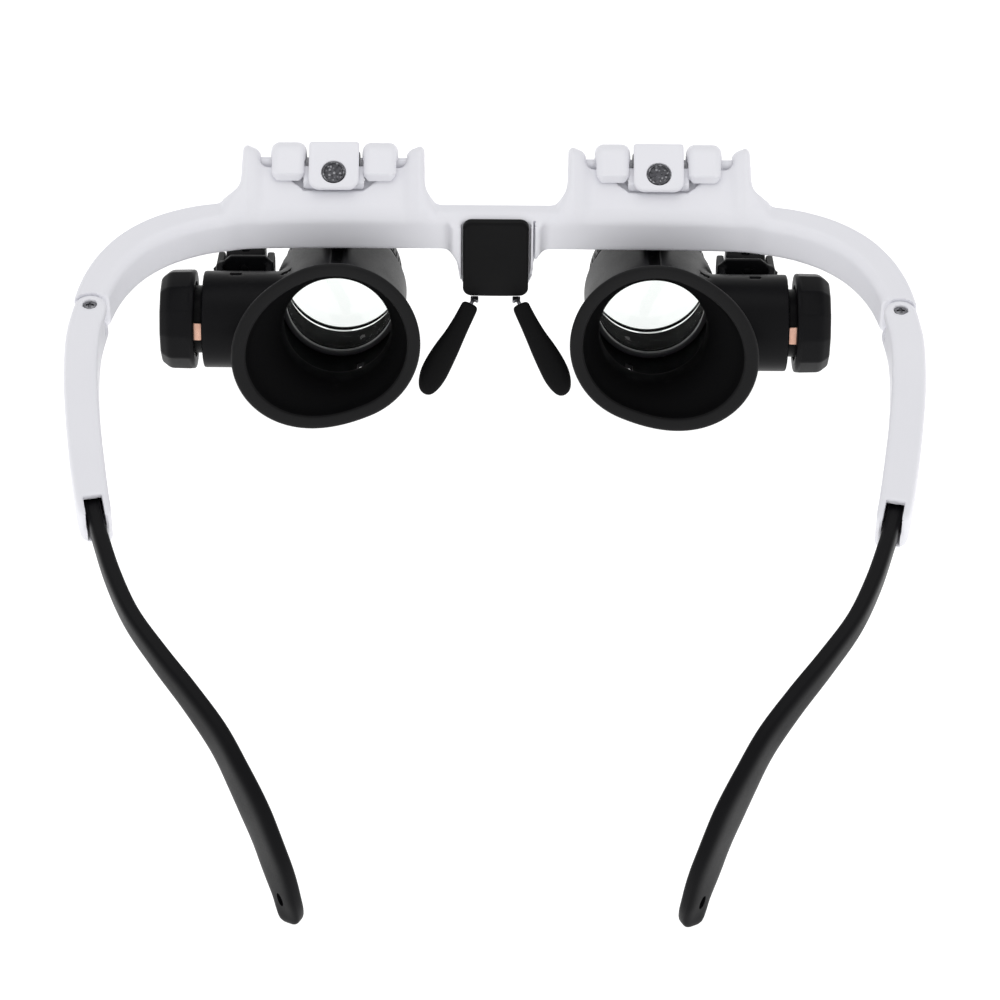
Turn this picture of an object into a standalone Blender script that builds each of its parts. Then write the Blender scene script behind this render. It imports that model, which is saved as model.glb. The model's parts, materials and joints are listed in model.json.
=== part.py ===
"""Glasses-type binocular magnifier with two flip-up loupes, each with its own lamp and battery tube.

Lengths are in millimetres and turn into metres in the helpers. The design frame has +X to the wearer's
right, +Y forward, +Z up, and its datum on the plane of the brow bar's flat top, level with the fork ends
of the temple arms. A loupe has a frame of its own: x to the right, y down, z forward on the optical axis.
"""

import math

import bmesh
import bpy
from mathutils import Matrix, Vector

MM = 0.001
SIDES = {"left": -1, "right": 1}

# Where the datum stands over the table, and how far the box centre lies in front of it.
BAR_TOP_HEIGHT = 43.45
BOX_CENTRE_Y = 20.95

# Brow bar, from the bridge to the hinge: x and y of its middle line, and its width.
BAR_HEIGHT = 8.8
BAR_LINE = ((0, 91, 5.2), (30, 91, 5.2), (50, 90.9, 5.6), (56.5, 90.4, 6.0), (63.1, 88.9, 6.3),
            (69.8, 85.6, 6.4), (75.1, 80.9, 6.5), (78.8, 75.3, 6.6), (81.2, 69.3, 6.6), (82.6, 63.0, 6.6))
EDGE_RADIUS = 1.1

# Temple hinge and white arm.
HINGE_X, HINGE_Y = 82.75, 59.0
HINGE_LUG_RADIUS = 3.35
HINGE_TONGUE = (4.4, 3.4)
HINGE_SCREW_HEAD, HINGE_SCREW_SHANK = 1.3, 0.8
HINGE_GAP = 0.35
ARM_LINE = ((82.78, 58.6, 6.6), (83.6, 50, 6.5), (83.1, 38, 6.3), (81.8, 26, 6.2), (80.0, 14, 6.2),
            (77.9, 2.5, 6.2), (77.0, -1.2, 6.1), (76.35, -4.2, 5.7))
ARM_TAPER = 0.012
FORK_ROOT_Y = 1.2
FORK_SLOT = (3.6, 5.6)
TONGUE_DEPTH = 24.0
TONGUE_THICKNESS, TONGUE_HEIGHT = 3.2, 4.6
TONGUE_Z = -4.4

# Black temple tip behind the fork: x, y, z of its middle line, thickness and height of its section.
TIP_LINE = ((75.4, -7.0, -4.4, 3.2, 4.6), (72.1, -17.8, -4.5, 3.3, 4.8), (67.8, -28.3, -5.0, 3.3, 5.2),
            (62.0, -37.5, -6.3, 3.4, 5.8), (55.9, -44.9, -9.4, 3.4, 6.6), (50.5, -51.4, -13.3, 3.4, 7.8),
            (46.5, -57.1, -18.0, 3.4, 9.2), (43.0, -62.0, -23.5, 3.4, 10.2), (40.1, -66.2, -29.8, 3.3, 9.4),
            (37.9, -68.8, -37.2, 3.2, 6.6), (37.0, -69.5, -43.05, 3.0, 4.0))
LANYARD_HOLE = (38.9, -68.0, -33.4)

# Housings on the bar: the slope that rises forward, its end ears, and the hinge rod they hold.
SLOPE = math.radians(27)
SLOPE_FOOT_Y = 88.4
HOUSING_INNER_X, HOUSING_OUTER_X = 15.2, 53.6
EAR_WIDTH = 3.2
EAR_RISE = 1.3
HOUSING_FRONT_Y = 96.9
ROD_Y, ROD_Z, ROD_RADIUS = 101.5, 4.0, 1.4
ROD_BORE = 1.7
EAR_NOSE_RADIUS = 4.2

# Slide carriage with its clamp plate, centred between the ears.
CARRIAGE_X = 34.2
BLOCK_INNER, BLOCK_WIDTH = 6.4, 6.8
BLOCK_RADIUS = 4.0
BLOCK_GAP, BLOCK_LIFT = 0.35, 1.62
BLOCK_REAR_Y = 95.4
PLATE_WIDTH, PLATE_REAR_Y, PLATE_FRONT_Y = 10.6, 93.4, 103.2
PLATE_THICKNESS, PLATE_LIFT, PLATE_CORNER = 1.4, 0.9, 2.3
CLAMP_SCREW_Y = 96.8
WEB_REAR_Y, WEB_FRONT_Y = 95.0, 98.5
WEB_BOTTOM, WEB_TOP = -1.05, 0.6
RECESS_DEPTH, RECESS_REACH = 1.4, 9.0

# Loupe: optical axis, its droop below level, and stations along it.
LOUPE_X = 33.4
DROOP = math.radians(18)
AXIS_Y, AXIS_Z = 81.2, -22.0
BARREL_RADIUS, BARREL_BORE = 14.2, 13.0
BARREL_REAR, BARREL_FRONT = -7.0, 18.0
LENS_LIP = (14.6, 15.8, 12.0)
HOLDER_RADIUS, HOLDER_BORE, HOLDER_FRONT = 13.1, 12.5, 29.6
CUP_RIM, CUP_BULGE, CUP_RIM_STATION, CUP_WING = 17.8, 4.5, -14.0, 2.2
CUP_BULGE_ANGLE = math.radians(24)

# Battery tube across the loupe, its cap and the cells.
TUBE_DOWN, TUBE_STATION = 1.4, 3.7
TUBE_RADIUS, TUBE_END = 10.3, 28.6
NECK_RADIUS, NECK_END = 7.2, 33.8
CELL_BORE, CELL_RADIUS, CELL_THICKNESS, CELL_PITCH = 6.1, 5.8, 3.05, 3.35
CELL_FIRST = 22.7
CAP_START, CAP_END, CAP_RADIUS, CAP_BORE = 30.3, 37.6, 10.7, 8.1
STRIP_WIDTH = 3.8
SPRING_TURNS, SPRING_STEPS, SPRING_WIRE = 3, 8, 0.25
SPRING_LOW, SPRING_HIGH, SPRING_WIDE, SPRING_NARROW = 18.0, 22.2, 4.6, 2.4

# Lamp in front of the tube: its pivot in the loupe's frame.
LAMP_PIVOT = (20.4, -5.6, 18.2)
LAMP_RADIUS, LAMP_WIDTH = 4.5, 8.4
LAMP_EAR = 1.6

# Nose piece.
NOSE_BLOCK = (7.0, 86.0, 88.0, -19.3, 0.5)
NOSE_TAB_BOTTOM = -17.6
PAD_TOP, PAD_BOTTOM = (5.2, 84.4, -19.8), (13.8, 74.3, -35.8)
PAD_FACE = (0.0, -0.743, 0.669)
PAD_STATIONS = ((0.0, 0.5, 1.2, 0.0), (0.04, 0.9, 1.5, 0.0), (0.25, 1.15, 1.7, 0.15), (0.5, 1.3, 2.1, 0.5),
                (0.75, 1.35, 2.45, 0.8), (0.92, 1.1, 1.9, 0.5), (1.0, 0.5, 0.9, 0.2))
PAD_STEPS = 12

ROUND_STEPS = 24
SMALL_STEPS = 12


def mm(x, y, z):
    """A point given in millimetres, in metres."""
    return Vector((x, y, z)) * MM


def clear_scene():
    """Removes whatever the startup scene holds."""
    for obj in list(bpy.data.objects):
        bpy.data.objects.remove(obj, do_unlink=True)


def make_collection(name):
    """A new collection in the scene."""
    made = bpy.data.collections.new(name)
    bpy.context.scene.collection.children.link(made)
    return made


def make_material(name, colour, roughness, metallic=0.0, transmission=0.0):
    """A Principled BSDF material."""
    made = bpy.data.materials.new(name)
    made.use_nodes = True
    shader = made.node_tree.nodes["Principled BSDF"]
    shader.inputs["Base Color"].default_value = (*colour, 1)
    shader.inputs["Roughness"].default_value = roughness
    shader.inputs["Metallic"].default_value = metallic
    shader.inputs["Transmission Weight"].default_value = transmission
    return made


class Workshop:
    """The collections, the materials and the datum that every part shares."""

    def __init__(self):
        clear_scene()
        self.parts = make_collection("binocular_magnifier")
        self.cutters = make_collection("cutters")
        self.cutters.hide_render = True
        self.white = make_material("white_abs", (0.77, 0.77, 0.80), 0.42)
        self.black = make_material("black_abs", (0.015, 0.015, 0.017), 0.38)
        self.rubber = make_material("black_rubber", (0.012, 0.012, 0.013), 0.75)
        self.steel = make_material("steel", (0.35, 0.35, 0.36), 0.35, 1.0)
        self.copper = make_material("copper", (0.72, 0.40, 0.30), 0.30, 1.0)
        self.cell = make_material("nickel_cell", (0.60, 0.60, 0.58), 0.25, 1.0)
        self.glass = make_material("lens_glass", (0.95, 0.97, 0.98), 0.02, 0.0, 1.0)
        self.lamp = make_material("lamp_epoxy", (0.95, 0.93, 0.80), 0.10, 0.0, 0.6)
        self.datum = self.empty("frame_datum", mm(0, -BOX_CENTRE_Y, BAR_TOP_HEIGHT), None)

    def empty(self, name, location, parent, rotation=(0, 0, 0)):
        """An empty that stands for a joint axis or a sub-assembly."""
        made = bpy.data.objects.new(name, None)
        made.location = location
        made.rotation_euler = rotation
        made.parent = parent
        self.parts.objects.link(made)
        return made

    def add(self, name, mesh, material, parent, location=(0, 0, 0), rotation=(0, 0, 0)):
        """An object of the assembly."""
        made = bpy.data.objects.new(name, mesh)
        made.location = location
        made.rotation_euler = rotation
        made.parent = parent
        mesh.materials.append(material)
        self.parts.objects.link(made)
        return made

    def shape(self, obj, tool, operation):
        """Joins the tool to the object or cuts it away, and hides the tool."""
        for collection in list(tool.users_collection):
            collection.objects.unlink(tool)
        self.cutters.objects.link(tool)
        tool.hide_render = True
        tool.display_type = "WIRE"
        modifier = obj.modifiers.new(operation.lower() + "_" + tool.name, "BOOLEAN")
        modifier.operation = operation
        modifier.object = tool
        modifier.solver = "EXACT"


def mesh_of(bm, name):
    """A mesh from a bmesh, its faces pointing out and smooth across low angles."""
    bmesh.ops.recalc_face_normals(bm, faces=bm.faces)
    mesh = bpy.data.meshes.new(name)
    bm.to_mesh(mesh)
    bm.free()
    mesh.shade_smooth()
    mesh.set_sharp_from_angle(angle=math.radians(35))
    return mesh


def box_mesh(name, low, high, bevel=0.0):
    """A box between two corners, its edges rounded off by one chamfer."""
    bm = bmesh.new()
    bmesh.ops.create_cube(bm, size=1)
    size = Vector(high) - Vector(low)
    middle = (Vector(high) + Vector(low)) / 2
    bmesh.ops.scale(bm, vec=size * MM, verts=bm.verts)
    bmesh.ops.translate(bm, vec=middle * MM, verts=bm.verts)
    if bevel:
        bmesh.ops.bevel(bm, geom=bm.edges, offset=bevel * MM, segments=1, profile=0.5, affect="EDGES")
    return mesh_of(bm, name)


def cylinder_mesh(name, radius, start, end, steps=SMALL_STEPS, axis="Z", at=(0, 0, 0)):
    """A round bar along an axis, between two stations on it."""
    bm = bmesh.new()
    bmesh.ops.create_cone(bm, cap_ends=True, segments=steps, radius1=radius * MM, radius2=radius * MM,
                          depth=(end - start) * MM)
    bmesh.ops.translate(bm, vec=mm(0, 0, (start + end) / 2), verts=bm.verts)
    turn = {"Z": Matrix.Identity(3), "X": Matrix.Rotation(math.pi / 2, 3, "Y"),
            "Y": Matrix.Rotation(-math.pi / 2, 3, "X")}[axis]
    bmesh.ops.rotate(bm, cent=(0, 0, 0), matrix=turn, verts=bm.verts)
    bmesh.ops.translate(bm, vec=mm(*at), verts=bm.verts)
    return mesh_of(bm, name)


def rounded_section(width, height, radius, steps=1):
    """The points of a rounded rectangle about its middle, in millimetres."""
    radius = min(radius, width / 2 - 0.05, height / 2 - 0.05)
    points = []
    for quarter, (sx, sy) in enumerate(((1, 1), (-1, 1), (-1, -1), (1, -1))):
        for step in range(steps + 1):
            angle = math.pi / 2 * (quarter + step / steps)
            points.append((sx * (width / 2 - radius) + radius * math.cos(angle),
                           sy * (height / 2 - radius) + radius * math.sin(angle)))
    return points


def loft_mesh(name, rings, closed=False):
    """A skin over rings of equally many points, with end caps, or closed on itself as a ring."""
    bm = bmesh.new()
    rows = [[bm.verts.new(Vector(point) * MM) for point in ring] for ring in rings]
    count = len(rows[0])
    pairs = list(zip(rows, rows[1:]))
    if closed:
        pairs.append((rows[-1], rows[0]))
    for first, second in pairs:
        for i in range(count):
            j = (i + 1) % count
            bm.faces.new((first[i], first[j], second[j], second[i]))
    if not closed:
        bm.faces.new(rows[0])
        bm.faces.new(rows[-1])
    return mesh_of(bm, name)


def smooth_line(points, parts):
    """Points on a smooth curve through the given ones, with every value blended alike."""
    last = len(points) - 1
    made = []
    for i in range(last):
        p0, p1 = points[max(i - 1, 0)], points[i]
        p2, p3 = points[i + 1], points[min(i + 2, last)]
        for part in range(parts):
            t = part / parts
            made.append(tuple(0.5 * (2 * b + (c - a) * t + (2 * a - 5 * b + 4 * c - d) * t * t
                                     + (3 * b - a - 3 * c + d) * t ** 3)
                              for a, b, c, d in zip(p0, p1, p2, p3)))
    return made + [tuple(points[last])]


def swept_rings(line, radius):
    """Upright rounded sections along a line of (x, y, z, width, height)."""
    rings = []
    for i, (x, y, z, width, height) in enumerate(line):
        ahead = Vector(line[min(i + 1, len(line) - 1)][:3])
        behind = Vector(line[max(i - 1, 0)][:3])
        along = (ahead - behind).normalized()
        side = along.cross(Vector((0, 0, 1))).normalized()
        up = side.cross(along)
        middle = Vector((x, y, z))
        rings.append([middle + side * u + up * v for u, v in rounded_section(width, height, radius)])
    return rings


def plate_mesh(name, outline, start, end, frame=Matrix.Identity(4)):
    """A flat outline made thick between two heights, then set in a frame."""
    curve = bpy.data.curves.new(name, "CURVE")
    curve.dimensions = "2D"
    curve.fill_mode = "BOTH"
    curve.extrude = (end - start) / 2 * MM
    spline = curve.splines.new("POLY")
    spline.points.add(len(outline) - 1)
    for point, (x, y) in zip(spline.points, outline):
        point.co = (x * MM, y * MM, 0, 1)
    spline.use_cyclic_u = True
    holder = bpy.data.objects.new(name, curve)
    bpy.context.scene.collection.objects.link(holder)
    graph = bpy.context.evaluated_depsgraph_get()
    mesh = bpy.data.meshes.new_from_object(holder.evaluated_get(graph))
    bpy.data.objects.remove(holder)
    bpy.data.curves.remove(curve)
    bm = bmesh.new()
    bm.from_mesh(mesh)
    bpy.data.meshes.remove(mesh)
    bmesh.ops.remove_doubles(bm, verts=bm.verts, dist=MM * 0.01)
    bmesh.ops.translate(bm, vec=mm(0, 0, (start + end) / 2), verts=bm.verts)
    bmesh.ops.transform(bm, matrix=frame, verts=bm.verts)
    return mesh_of(bm, name)


def arc(centre, radius, first, last, steps=6):
    """Points on an arc, the angles in degrees."""
    angles = [math.radians(first + (last - first) * i / steps) for i in range(steps + 1)]
    return [(centre[0] + radius * math.cos(a), centre[1] + radius * math.sin(a)) for a in angles]


SIDEWAYS = Matrix(((0, 0, 1, 0), (1, 0, 0, 0), (0, 1, 0, 0), (0, 0, 0, 1)))
UPRIGHT = Matrix(((1, 0, 0, 0), (0, 0, 1, 0), (0, 1, 0, 0), (0, 0, 0, 1)))


def turned(shop, name, profile, material, parent, location=(0, 0, 0), rotation=(0, 0, 0),
           steps=ROUND_STEPS, ring=False):
    """A turned piece: its profile of (radius, height) runs down the outer side."""
    mesh = bpy.data.meshes.new(name)
    count = len(profile)
    edges = [(i, i + 1) for i in range(count - 1)]
    if ring:
        edges.append((count - 1, 0))
    mesh.from_pydata([mm(radius, 0, height) for radius, height in profile], edges, [])
    obj = shop.add(name, mesh, material, parent, location, rotation)
    screw = obj.modifiers.new("turn", "SCREW")
    screw.steps = steps
    screw.render_steps = steps
    screw.use_merge_vertices = True
    screw.merge_threshold = 0.00001
    screw.use_smooth_shade = False
    return obj


def slope_height(y, rise=0.0):
    """The height of the housing's slope at y, or of a plane that lies above it by a rise."""
    return (y - SLOPE_FOOT_Y) * math.tan(SLOPE) + rise / math.cos(SLOPE)


def build_front_frame(shop):
    """The white brow bar with its two housings, nose tab and hinge tongues."""
    half = smooth_line(BAR_LINE, 2)
    line = [(-x, y, -BAR_HEIGHT / 2, width, BAR_HEIGHT) for x, y, width in reversed(half)]
    line += [(x, y, -BAR_HEIGHT / 2, width, BAR_HEIGHT) for x, y, width in half[1:]]
    frame = shop.add("front_frame", loft_mesh("front_frame", swept_rings(line, EDGE_RADIUS)), shop.white,
                     shop.datum)
    for side, sign in SIDES.items():
        for tool in housing_bodies(shop, side, sign):
            shop.shape(frame, tool, "UNION")
        for tool in housing_cuts(shop, side, sign):
            shop.shape(frame, tool, "DIFFERENCE")
        shop.shape(frame, hinge_tongue(shop, side, sign), "UNION")
        hole = cylinder_mesh("hinge_hole_" + side, HINGE_SCREW_SHANK + 0.2, -12, 2,
                             at=(sign * HINGE_X, HINGE_Y, 0))
        shop.shape(frame, shop.add("hinge_hole_" + side, hole, shop.white, shop.datum), "DIFFERENCE")
    for tool, operation in nose_tab(shop):
        shop.shape(frame, tool, operation)
    return frame


def span(sign, inner, outer):
    """The x range between two distances from the middle, on one side."""
    return min(sign * inner, sign * outer), max(sign * inner, sign * outer)


def housing_bodies(shop, side, sign):
    """The sloped wedge between the ears, and the two ears that hold the rod."""
    wedge = [(SLOPE_FOOT_Y + 0.6, -1.2), (SLOPE_FOOT_Y + 0.6, slope_height(SLOPE_FOOT_Y + 0.6)),
             (HOUSING_FRONT_Y - 0.4, slope_height(HOUSING_FRONT_Y - 0.4)),
             (HOUSING_FRONT_Y, slope_height(HOUSING_FRONT_Y) - 0.8), (HOUSING_FRONT_Y, -5.5),
             (92.0, -7.6), (90.0, -7.6)]
    ear_top = slope_height(SLOPE_FOOT_Y + 1.2, EAR_RISE)
    ear = [(SLOPE_FOOT_Y + 0.5, -2.5), (SLOPE_FOOT_Y + 0.5, ear_top - 0.7), (SLOPE_FOOT_Y + 1.2, ear_top)]
    ear += arc((ROD_Y, ROD_Z), EAR_NOSE_RADIUS, 117, -60, 8)
    ear += [(HOUSING_FRONT_Y, -5.5), (92.0, -7.6), (90.0, -7.6)]
    middle = (HOUSING_INNER_X + 1, HOUSING_OUTER_X - 1)
    spans = {"wedge": (wedge, middle), "inner_ear": (ear, (HOUSING_INNER_X, HOUSING_INNER_X + EAR_WIDTH)),
             "outer_ear": (ear, (HOUSING_OUTER_X - EAR_WIDTH, HOUSING_OUTER_X))}
    tools = []
    for name, (outline, (inner, outer)) in spans.items():
        mesh = plate_mesh(name + "_" + side, outline, *span(sign, inner, outer), SIDEWAYS)
        tools.append(shop.add(name + "_" + side, mesh, shop.white, shop.datum))
    return tools


def housing_cuts(shop, side, sign):
    """The blind bore for the rod, and the shallow recess that the carriage web slides in."""
    bore = cylinder_mesh("rod_bore_" + side, ROD_BORE, *span(sign, HOUSING_INNER_X + 0.8,
                         HOUSING_OUTER_X - 0.8), axis="X", at=(0, ROD_Y, ROD_Z))
    rear, front, clear = PLATE_REAR_Y - 0.6, HOUSING_FRONT_Y + 2, 3
    outline = [(rear, slope_height(rear, clear)), (rear, slope_height(rear, -RECESS_DEPTH)),
               (front, slope_height(front, -RECESS_DEPTH)), (front, slope_height(front, clear))]
    recess = plate_mesh("web_recess_" + side, outline,
                        *span(sign, CARRIAGE_X - RECESS_REACH, CARRIAGE_X + RECESS_REACH), SIDEWAYS)
    return [shop.add("rod_bore_" + side, bore, shop.white, shop.datum),
            shop.add("web_recess_" + side, recess, shop.white, shop.datum)]


def hinge_tongue(shop, side, sign):
    """The flat tongue that the temple arm's fork turns on."""
    width, height = HINGE_TONGUE
    half = width / 2
    x = sign * HINGE_X
    outline = [(x - half, HINGE_Y + 6), *arc((x, HINGE_Y), half, 180, 360, 8), (x + half, HINGE_Y + 6)]
    middle = -BAR_HEIGHT / 2
    mesh = plate_mesh("hinge_tongue_" + side, outline, middle - height / 2, middle + height / 2)
    return shop.add("hinge_tongue_" + side, mesh, shop.white, shop.datum)


def nose_tab(shop):
    """The white tab under the bridge, and the pocket in it that holds the nose block."""
    half, rear, front, bottom, top = NOSE_BLOCK
    shoulder = half + 3.4
    lower = half + 0.4
    outline = [(-shoulder, -5), (-shoulder, -9.5), (-shoulder + 0.5, -12), (-lower - 0.6, -15.5),
               (-lower, NOSE_TAB_BOTTOM), (lower, NOSE_TAB_BOTTOM), (lower + 0.6, -15.5),
               (shoulder - 0.5, -12), (shoulder, -9.5), (shoulder, -5)]
    tab = plate_mesh("nose_tab", outline, rear + 0.9, 91.4, UPRIGHT)
    gap = 0.3
    pocket = box_mesh("nose_pocket", (-half - gap, rear - 2, bottom - 4), (half + gap, front + gap, top + 4))
    return [(shop.add("nose_tab", tab, shop.white, shop.datum), "UNION"),
            (shop.add("nose_pocket", pocket, shop.white, shop.datum), "DIFFERENCE")]


def build_temple(shop, side, sign):
    """The white arm, its hinge screw and the black tip that telescopes in its fork."""
    pivot = shop.empty("temple_pivot_" + side, mm(sign * HINGE_X, HINGE_Y, 0), shop.datum)
    back = -pivot.location
    line = []
    for x, y, width in smooth_line(ARM_LINE, 2):
        line.append((sign * x, y, -BAR_HEIGHT / 2, width, BAR_HEIGHT - ARM_TAPER * (HINGE_Y - y)))
    mesh = loft_mesh("temple_arm", swept_rings(line, EDGE_RADIUS))
    arm = shop.add("temple_arm_" + side, mesh, shop.white, pivot, back)
    hinge = (sign * HINGE_X, HINGE_Y, 0)
    lug = cylinder_mesh("arm_lug_" + side, HINGE_LUG_RADIUS, -BAR_HEIGHT, 0, 20, at=hinge)
    shop.shape(arm, shop.add("arm_lug_" + side, lug, shop.white, pivot, back), "UNION")
    height = HINGE_TONGUE[1] / 2 + HINGE_GAP
    slot = cylinder_mesh("arm_slot_" + side, HINGE_LUG_RADIUS + 0.6, -BAR_HEIGHT / 2 - height,
                         -BAR_HEIGHT / 2 + height, 20, at=hinge)
    shop.shape(arm, shop.add("arm_slot_" + side, slot, shop.white, pivot, back), "DIFFERENCE")
    for name, radius, low in (("shank", HINGE_SCREW_SHANK + 0.2, -12), ("head", HINGE_SCREW_HEAD + 0.3, -1.1)):
        hole = cylinder_mesh(f"arm_{name}_hole_{side}", radius, low, 2, at=hinge)
        shop.shape(arm, shop.add(f"arm_{name}_hole_{side}", hole, shop.white, pivot, back), "DIFFERENCE")
    for tool in fork_cuts(shop, side, sign, pivot, back):
        shop.shape(arm, tool, "DIFFERENCE")
    profile = [(0, -0.15), (HINGE_SCREW_HEAD, -0.15), (HINGE_SCREW_HEAD, -0.9), (HINGE_SCREW_SHANK, -1.0),
               (HINGE_SCREW_SHANK, -8.4), (0, -8.4)]
    turned(shop, "temple_hinge_screw_" + side, profile, shop.steel, pivot, steps=12)
    build_temple_tip(shop, side, sign, pivot, back)


def fork_direction():
    """The way the fork and the tongue in it point, on the right side."""
    (x1, y1, _), (x2, y2, _) = ARM_LINE[-3], ARM_LINE[-1]
    return Vector((x2 - x1, y2 - y1, 0)).normalized()


def fork_cuts(shop, side, sign, pivot, back):
    """The blind slot for the tongue, open at the top behind the fork's root."""
    along = fork_direction()
    end = Vector((ARM_LINE[-1][0], ARM_LINE[-1][1], 0))
    turn = Matrix.Rotation(sign * -math.atan2(along.x, -along.y), 4, "Z").inverted()
    width, height = FORK_SLOT
    length = TONGUE_DEPTH + 1.0
    deep = box_mesh("fork_slot_" + side, (-width / 2, -4, TONGUE_Z - height / 2),
                    (width / 2, length, TONGUE_Z + height / 2))
    opened = box_mesh("fork_mouth_" + side, (-width / 2, -4, TONGUE_Z),
                      (width / 2, FORK_ROOT_Y - end.y, 3))
    tools = []
    for mesh in (deep, opened):
        mesh.transform(Matrix.Translation(mm(sign * end.x, end.y, 0)) @ turn)
        tools.append(shop.add(mesh.name, mesh, shop.white, pivot, back))
    return tools


def build_temple_tip(shop, side, sign, pivot, back):
    """The black tip: a straight tongue in the arm, then an upright blade that curves in and down."""
    along = fork_direction()
    end = Vector((ARM_LINE[-1][0], ARM_LINE[-1][1], TONGUE_Z))
    line = []
    for step in range(4):
        place = end - along * (TONGUE_DEPTH - 0.8) * (1 - step / 3)
        line.append((sign * place.x, place.y, place.z, TONGUE_THICKNESS, TONGUE_HEIGHT))
    for x, y, z, width, height in smooth_line(TIP_LINE, 2)[1:]:
        line.append((sign * x, y, z, width, height))
    tip = shop.add("temple_tip_" + side, loft_mesh("temple_tip", swept_rings(line, 1.2)), shop.black, pivot,
                   back)
    x, y, z = LANYARD_HOLE
    hole = cylinder_mesh("lanyard_hole_" + side, 0.8, -4, 4, 12, axis="X")
    hole.transform(Matrix.Translation(mm(sign * x, y, z)) @ Matrix.Rotation(sign * math.radians(32), 4, "Z"))
    shop.shape(tip, shop.add("lanyard_hole_" + side, hole, shop.black, pivot, back), "DIFFERENCE")


def build_rod(shop, side, sign):
    """The hinge rod, captive in the two ears."""
    reach = HOUSING_OUTER_X - HOUSING_INNER_X
    length = (reach - 2.2) / 2
    middle = sign * (HOUSING_INNER_X + reach / 2)
    rod = cylinder_mesh("hinge_rod", ROD_RADIUS, -length, length, axis="X")
    shop.add("hinge_rod_" + side, rod, shop.white, shop.datum, mm(middle, ROD_Y, ROD_Z))


def block_outline():
    """The side view of a carriage block: round about the rod, with a lip that lies down the slope."""
    front = arc((ROD_Y, ROD_Z), BLOCK_RADIUS, 117, -150, 12)
    foot, top = BLOCK_REAR_Y, BLOCK_REAR_Y + 0.3
    under = HOUSING_FRONT_Y + 0.5
    return [(foot, slope_height(foot, BLOCK_GAP)), (foot - 0.3, slope_height(foot, 0.9)),
            (top, slope_height(top, BLOCK_LIFT)), *front,
            (under, slope_height(under, -0.6)), (HOUSING_FRONT_Y, slope_height(HOUSING_FRONT_Y, BLOCK_GAP))]


def build_carriage(shop, side, sign):
    """The slide carriage, the clamp plate over it and the screw that holds the plate."""
    seat = shop.empty("slide_seat_" + side, mm(sign * CARRIAGE_X, ROD_Y, ROD_Z), shop.datum)
    back = mm(0, -ROD_Y, -ROD_Z)
    outer = BLOCK_INNER + BLOCK_WIDTH
    first = plate_mesh("slide_carriage", block_outline(), -outer, -BLOCK_INNER, SIDEWAYS)
    carriage = shop.add("slide_carriage_" + side, first, shop.white, seat, back)
    second = plate_mesh("second_block_" + side, block_outline(), BLOCK_INNER, outer, SIDEWAYS)
    shop.shape(carriage, shop.add(second.name, second, shop.white, seat, back), "UNION")
    web = [(WEB_REAR_Y, slope_height(WEB_REAR_Y, WEB_BOTTOM)), (WEB_REAR_Y, slope_height(WEB_REAR_Y, WEB_TOP)),
           (WEB_FRONT_Y, slope_height(WEB_FRONT_Y, WEB_TOP)), (WEB_FRONT_Y, slope_height(WEB_FRONT_Y, WEB_BOTTOM))]
    bridge = plate_mesh("carriage_web_" + side, web, -BLOCK_INNER - 0.3, BLOCK_INNER + 0.3, SIDEWAYS)
    shop.shape(carriage, shop.add(bridge.name, bridge, shop.white, seat, back), "UNION")
    bore = cylinder_mesh("carriage_bore_" + side, ROD_BORE, -20, 20, axis="X", at=(0, ROD_Y, ROD_Z))
    shop.shape(carriage, shop.add(bore.name, bore, shop.white, seat, back), "DIFFERENCE")
    tilt = Matrix.Translation(mm(0, CLAMP_SCREW_Y, slope_height(CLAMP_SCREW_Y))) @ Matrix.Rotation(SLOPE, 4, "X")
    hole = cylinder_mesh("web_hole_" + side, 1.3, -6, 6)
    hole.transform(tilt)
    shop.shape(carriage, shop.add(hole.name, hole, shop.white, seat, back), "DIFFERENCE")
    build_clamp_plate(shop, side, seat, back, tilt)


def build_clamp_plate(shop, side, seat, back, tilt):
    """The plate with rounded rear corners, and its screw."""
    half, corner = PLATE_WIDTH / 2, PLATE_CORNER
    rear = (PLATE_REAR_Y - CLAMP_SCREW_Y) / math.cos(SLOPE)
    front = (PLATE_FRONT_Y - CLAMP_SCREW_Y) / math.cos(SLOPE)
    outline = [*arc((-half + corner, rear + corner), corner, 180, 270, 4),
               *arc((half - corner, rear + corner), corner, 270, 360, 4),
               (half, front - 0.8), (half - 0.8, front), (-half + 0.8, front), (-half, front - 0.8)]
    plate = plate_mesh("clamp_plate", outline, PLATE_LIFT, PLATE_LIFT + PLATE_THICKNESS, tilt)
    plate_object = shop.add("clamp_plate_" + side, plate, shop.white, seat, back)
    for name, radius, low in (("through", 1.4, -4), ("sink", 2.55, PLATE_LIFT + 0.5)):
        hole = cylinder_mesh(f"plate_{name}_{side}", radius, low, 6)
        hole.transform(tilt)
        shop.shape(plate_object, shop.add(hole.name, hole, shop.white, seat, back), "DIFFERENCE")
    place = tilt.to_translation() + back
    profile = [(0, 2.15), (1.9, 2.15), (2.3, 1.85), (2.3, 1.5), (1.1, 1.5), (1.1, -0.75), (0, -0.75)]
    turned(shop, "clamp_screw_" + side, profile, shop.steel, seat, place, (SLOPE, 0, 0), steps=16)


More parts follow.
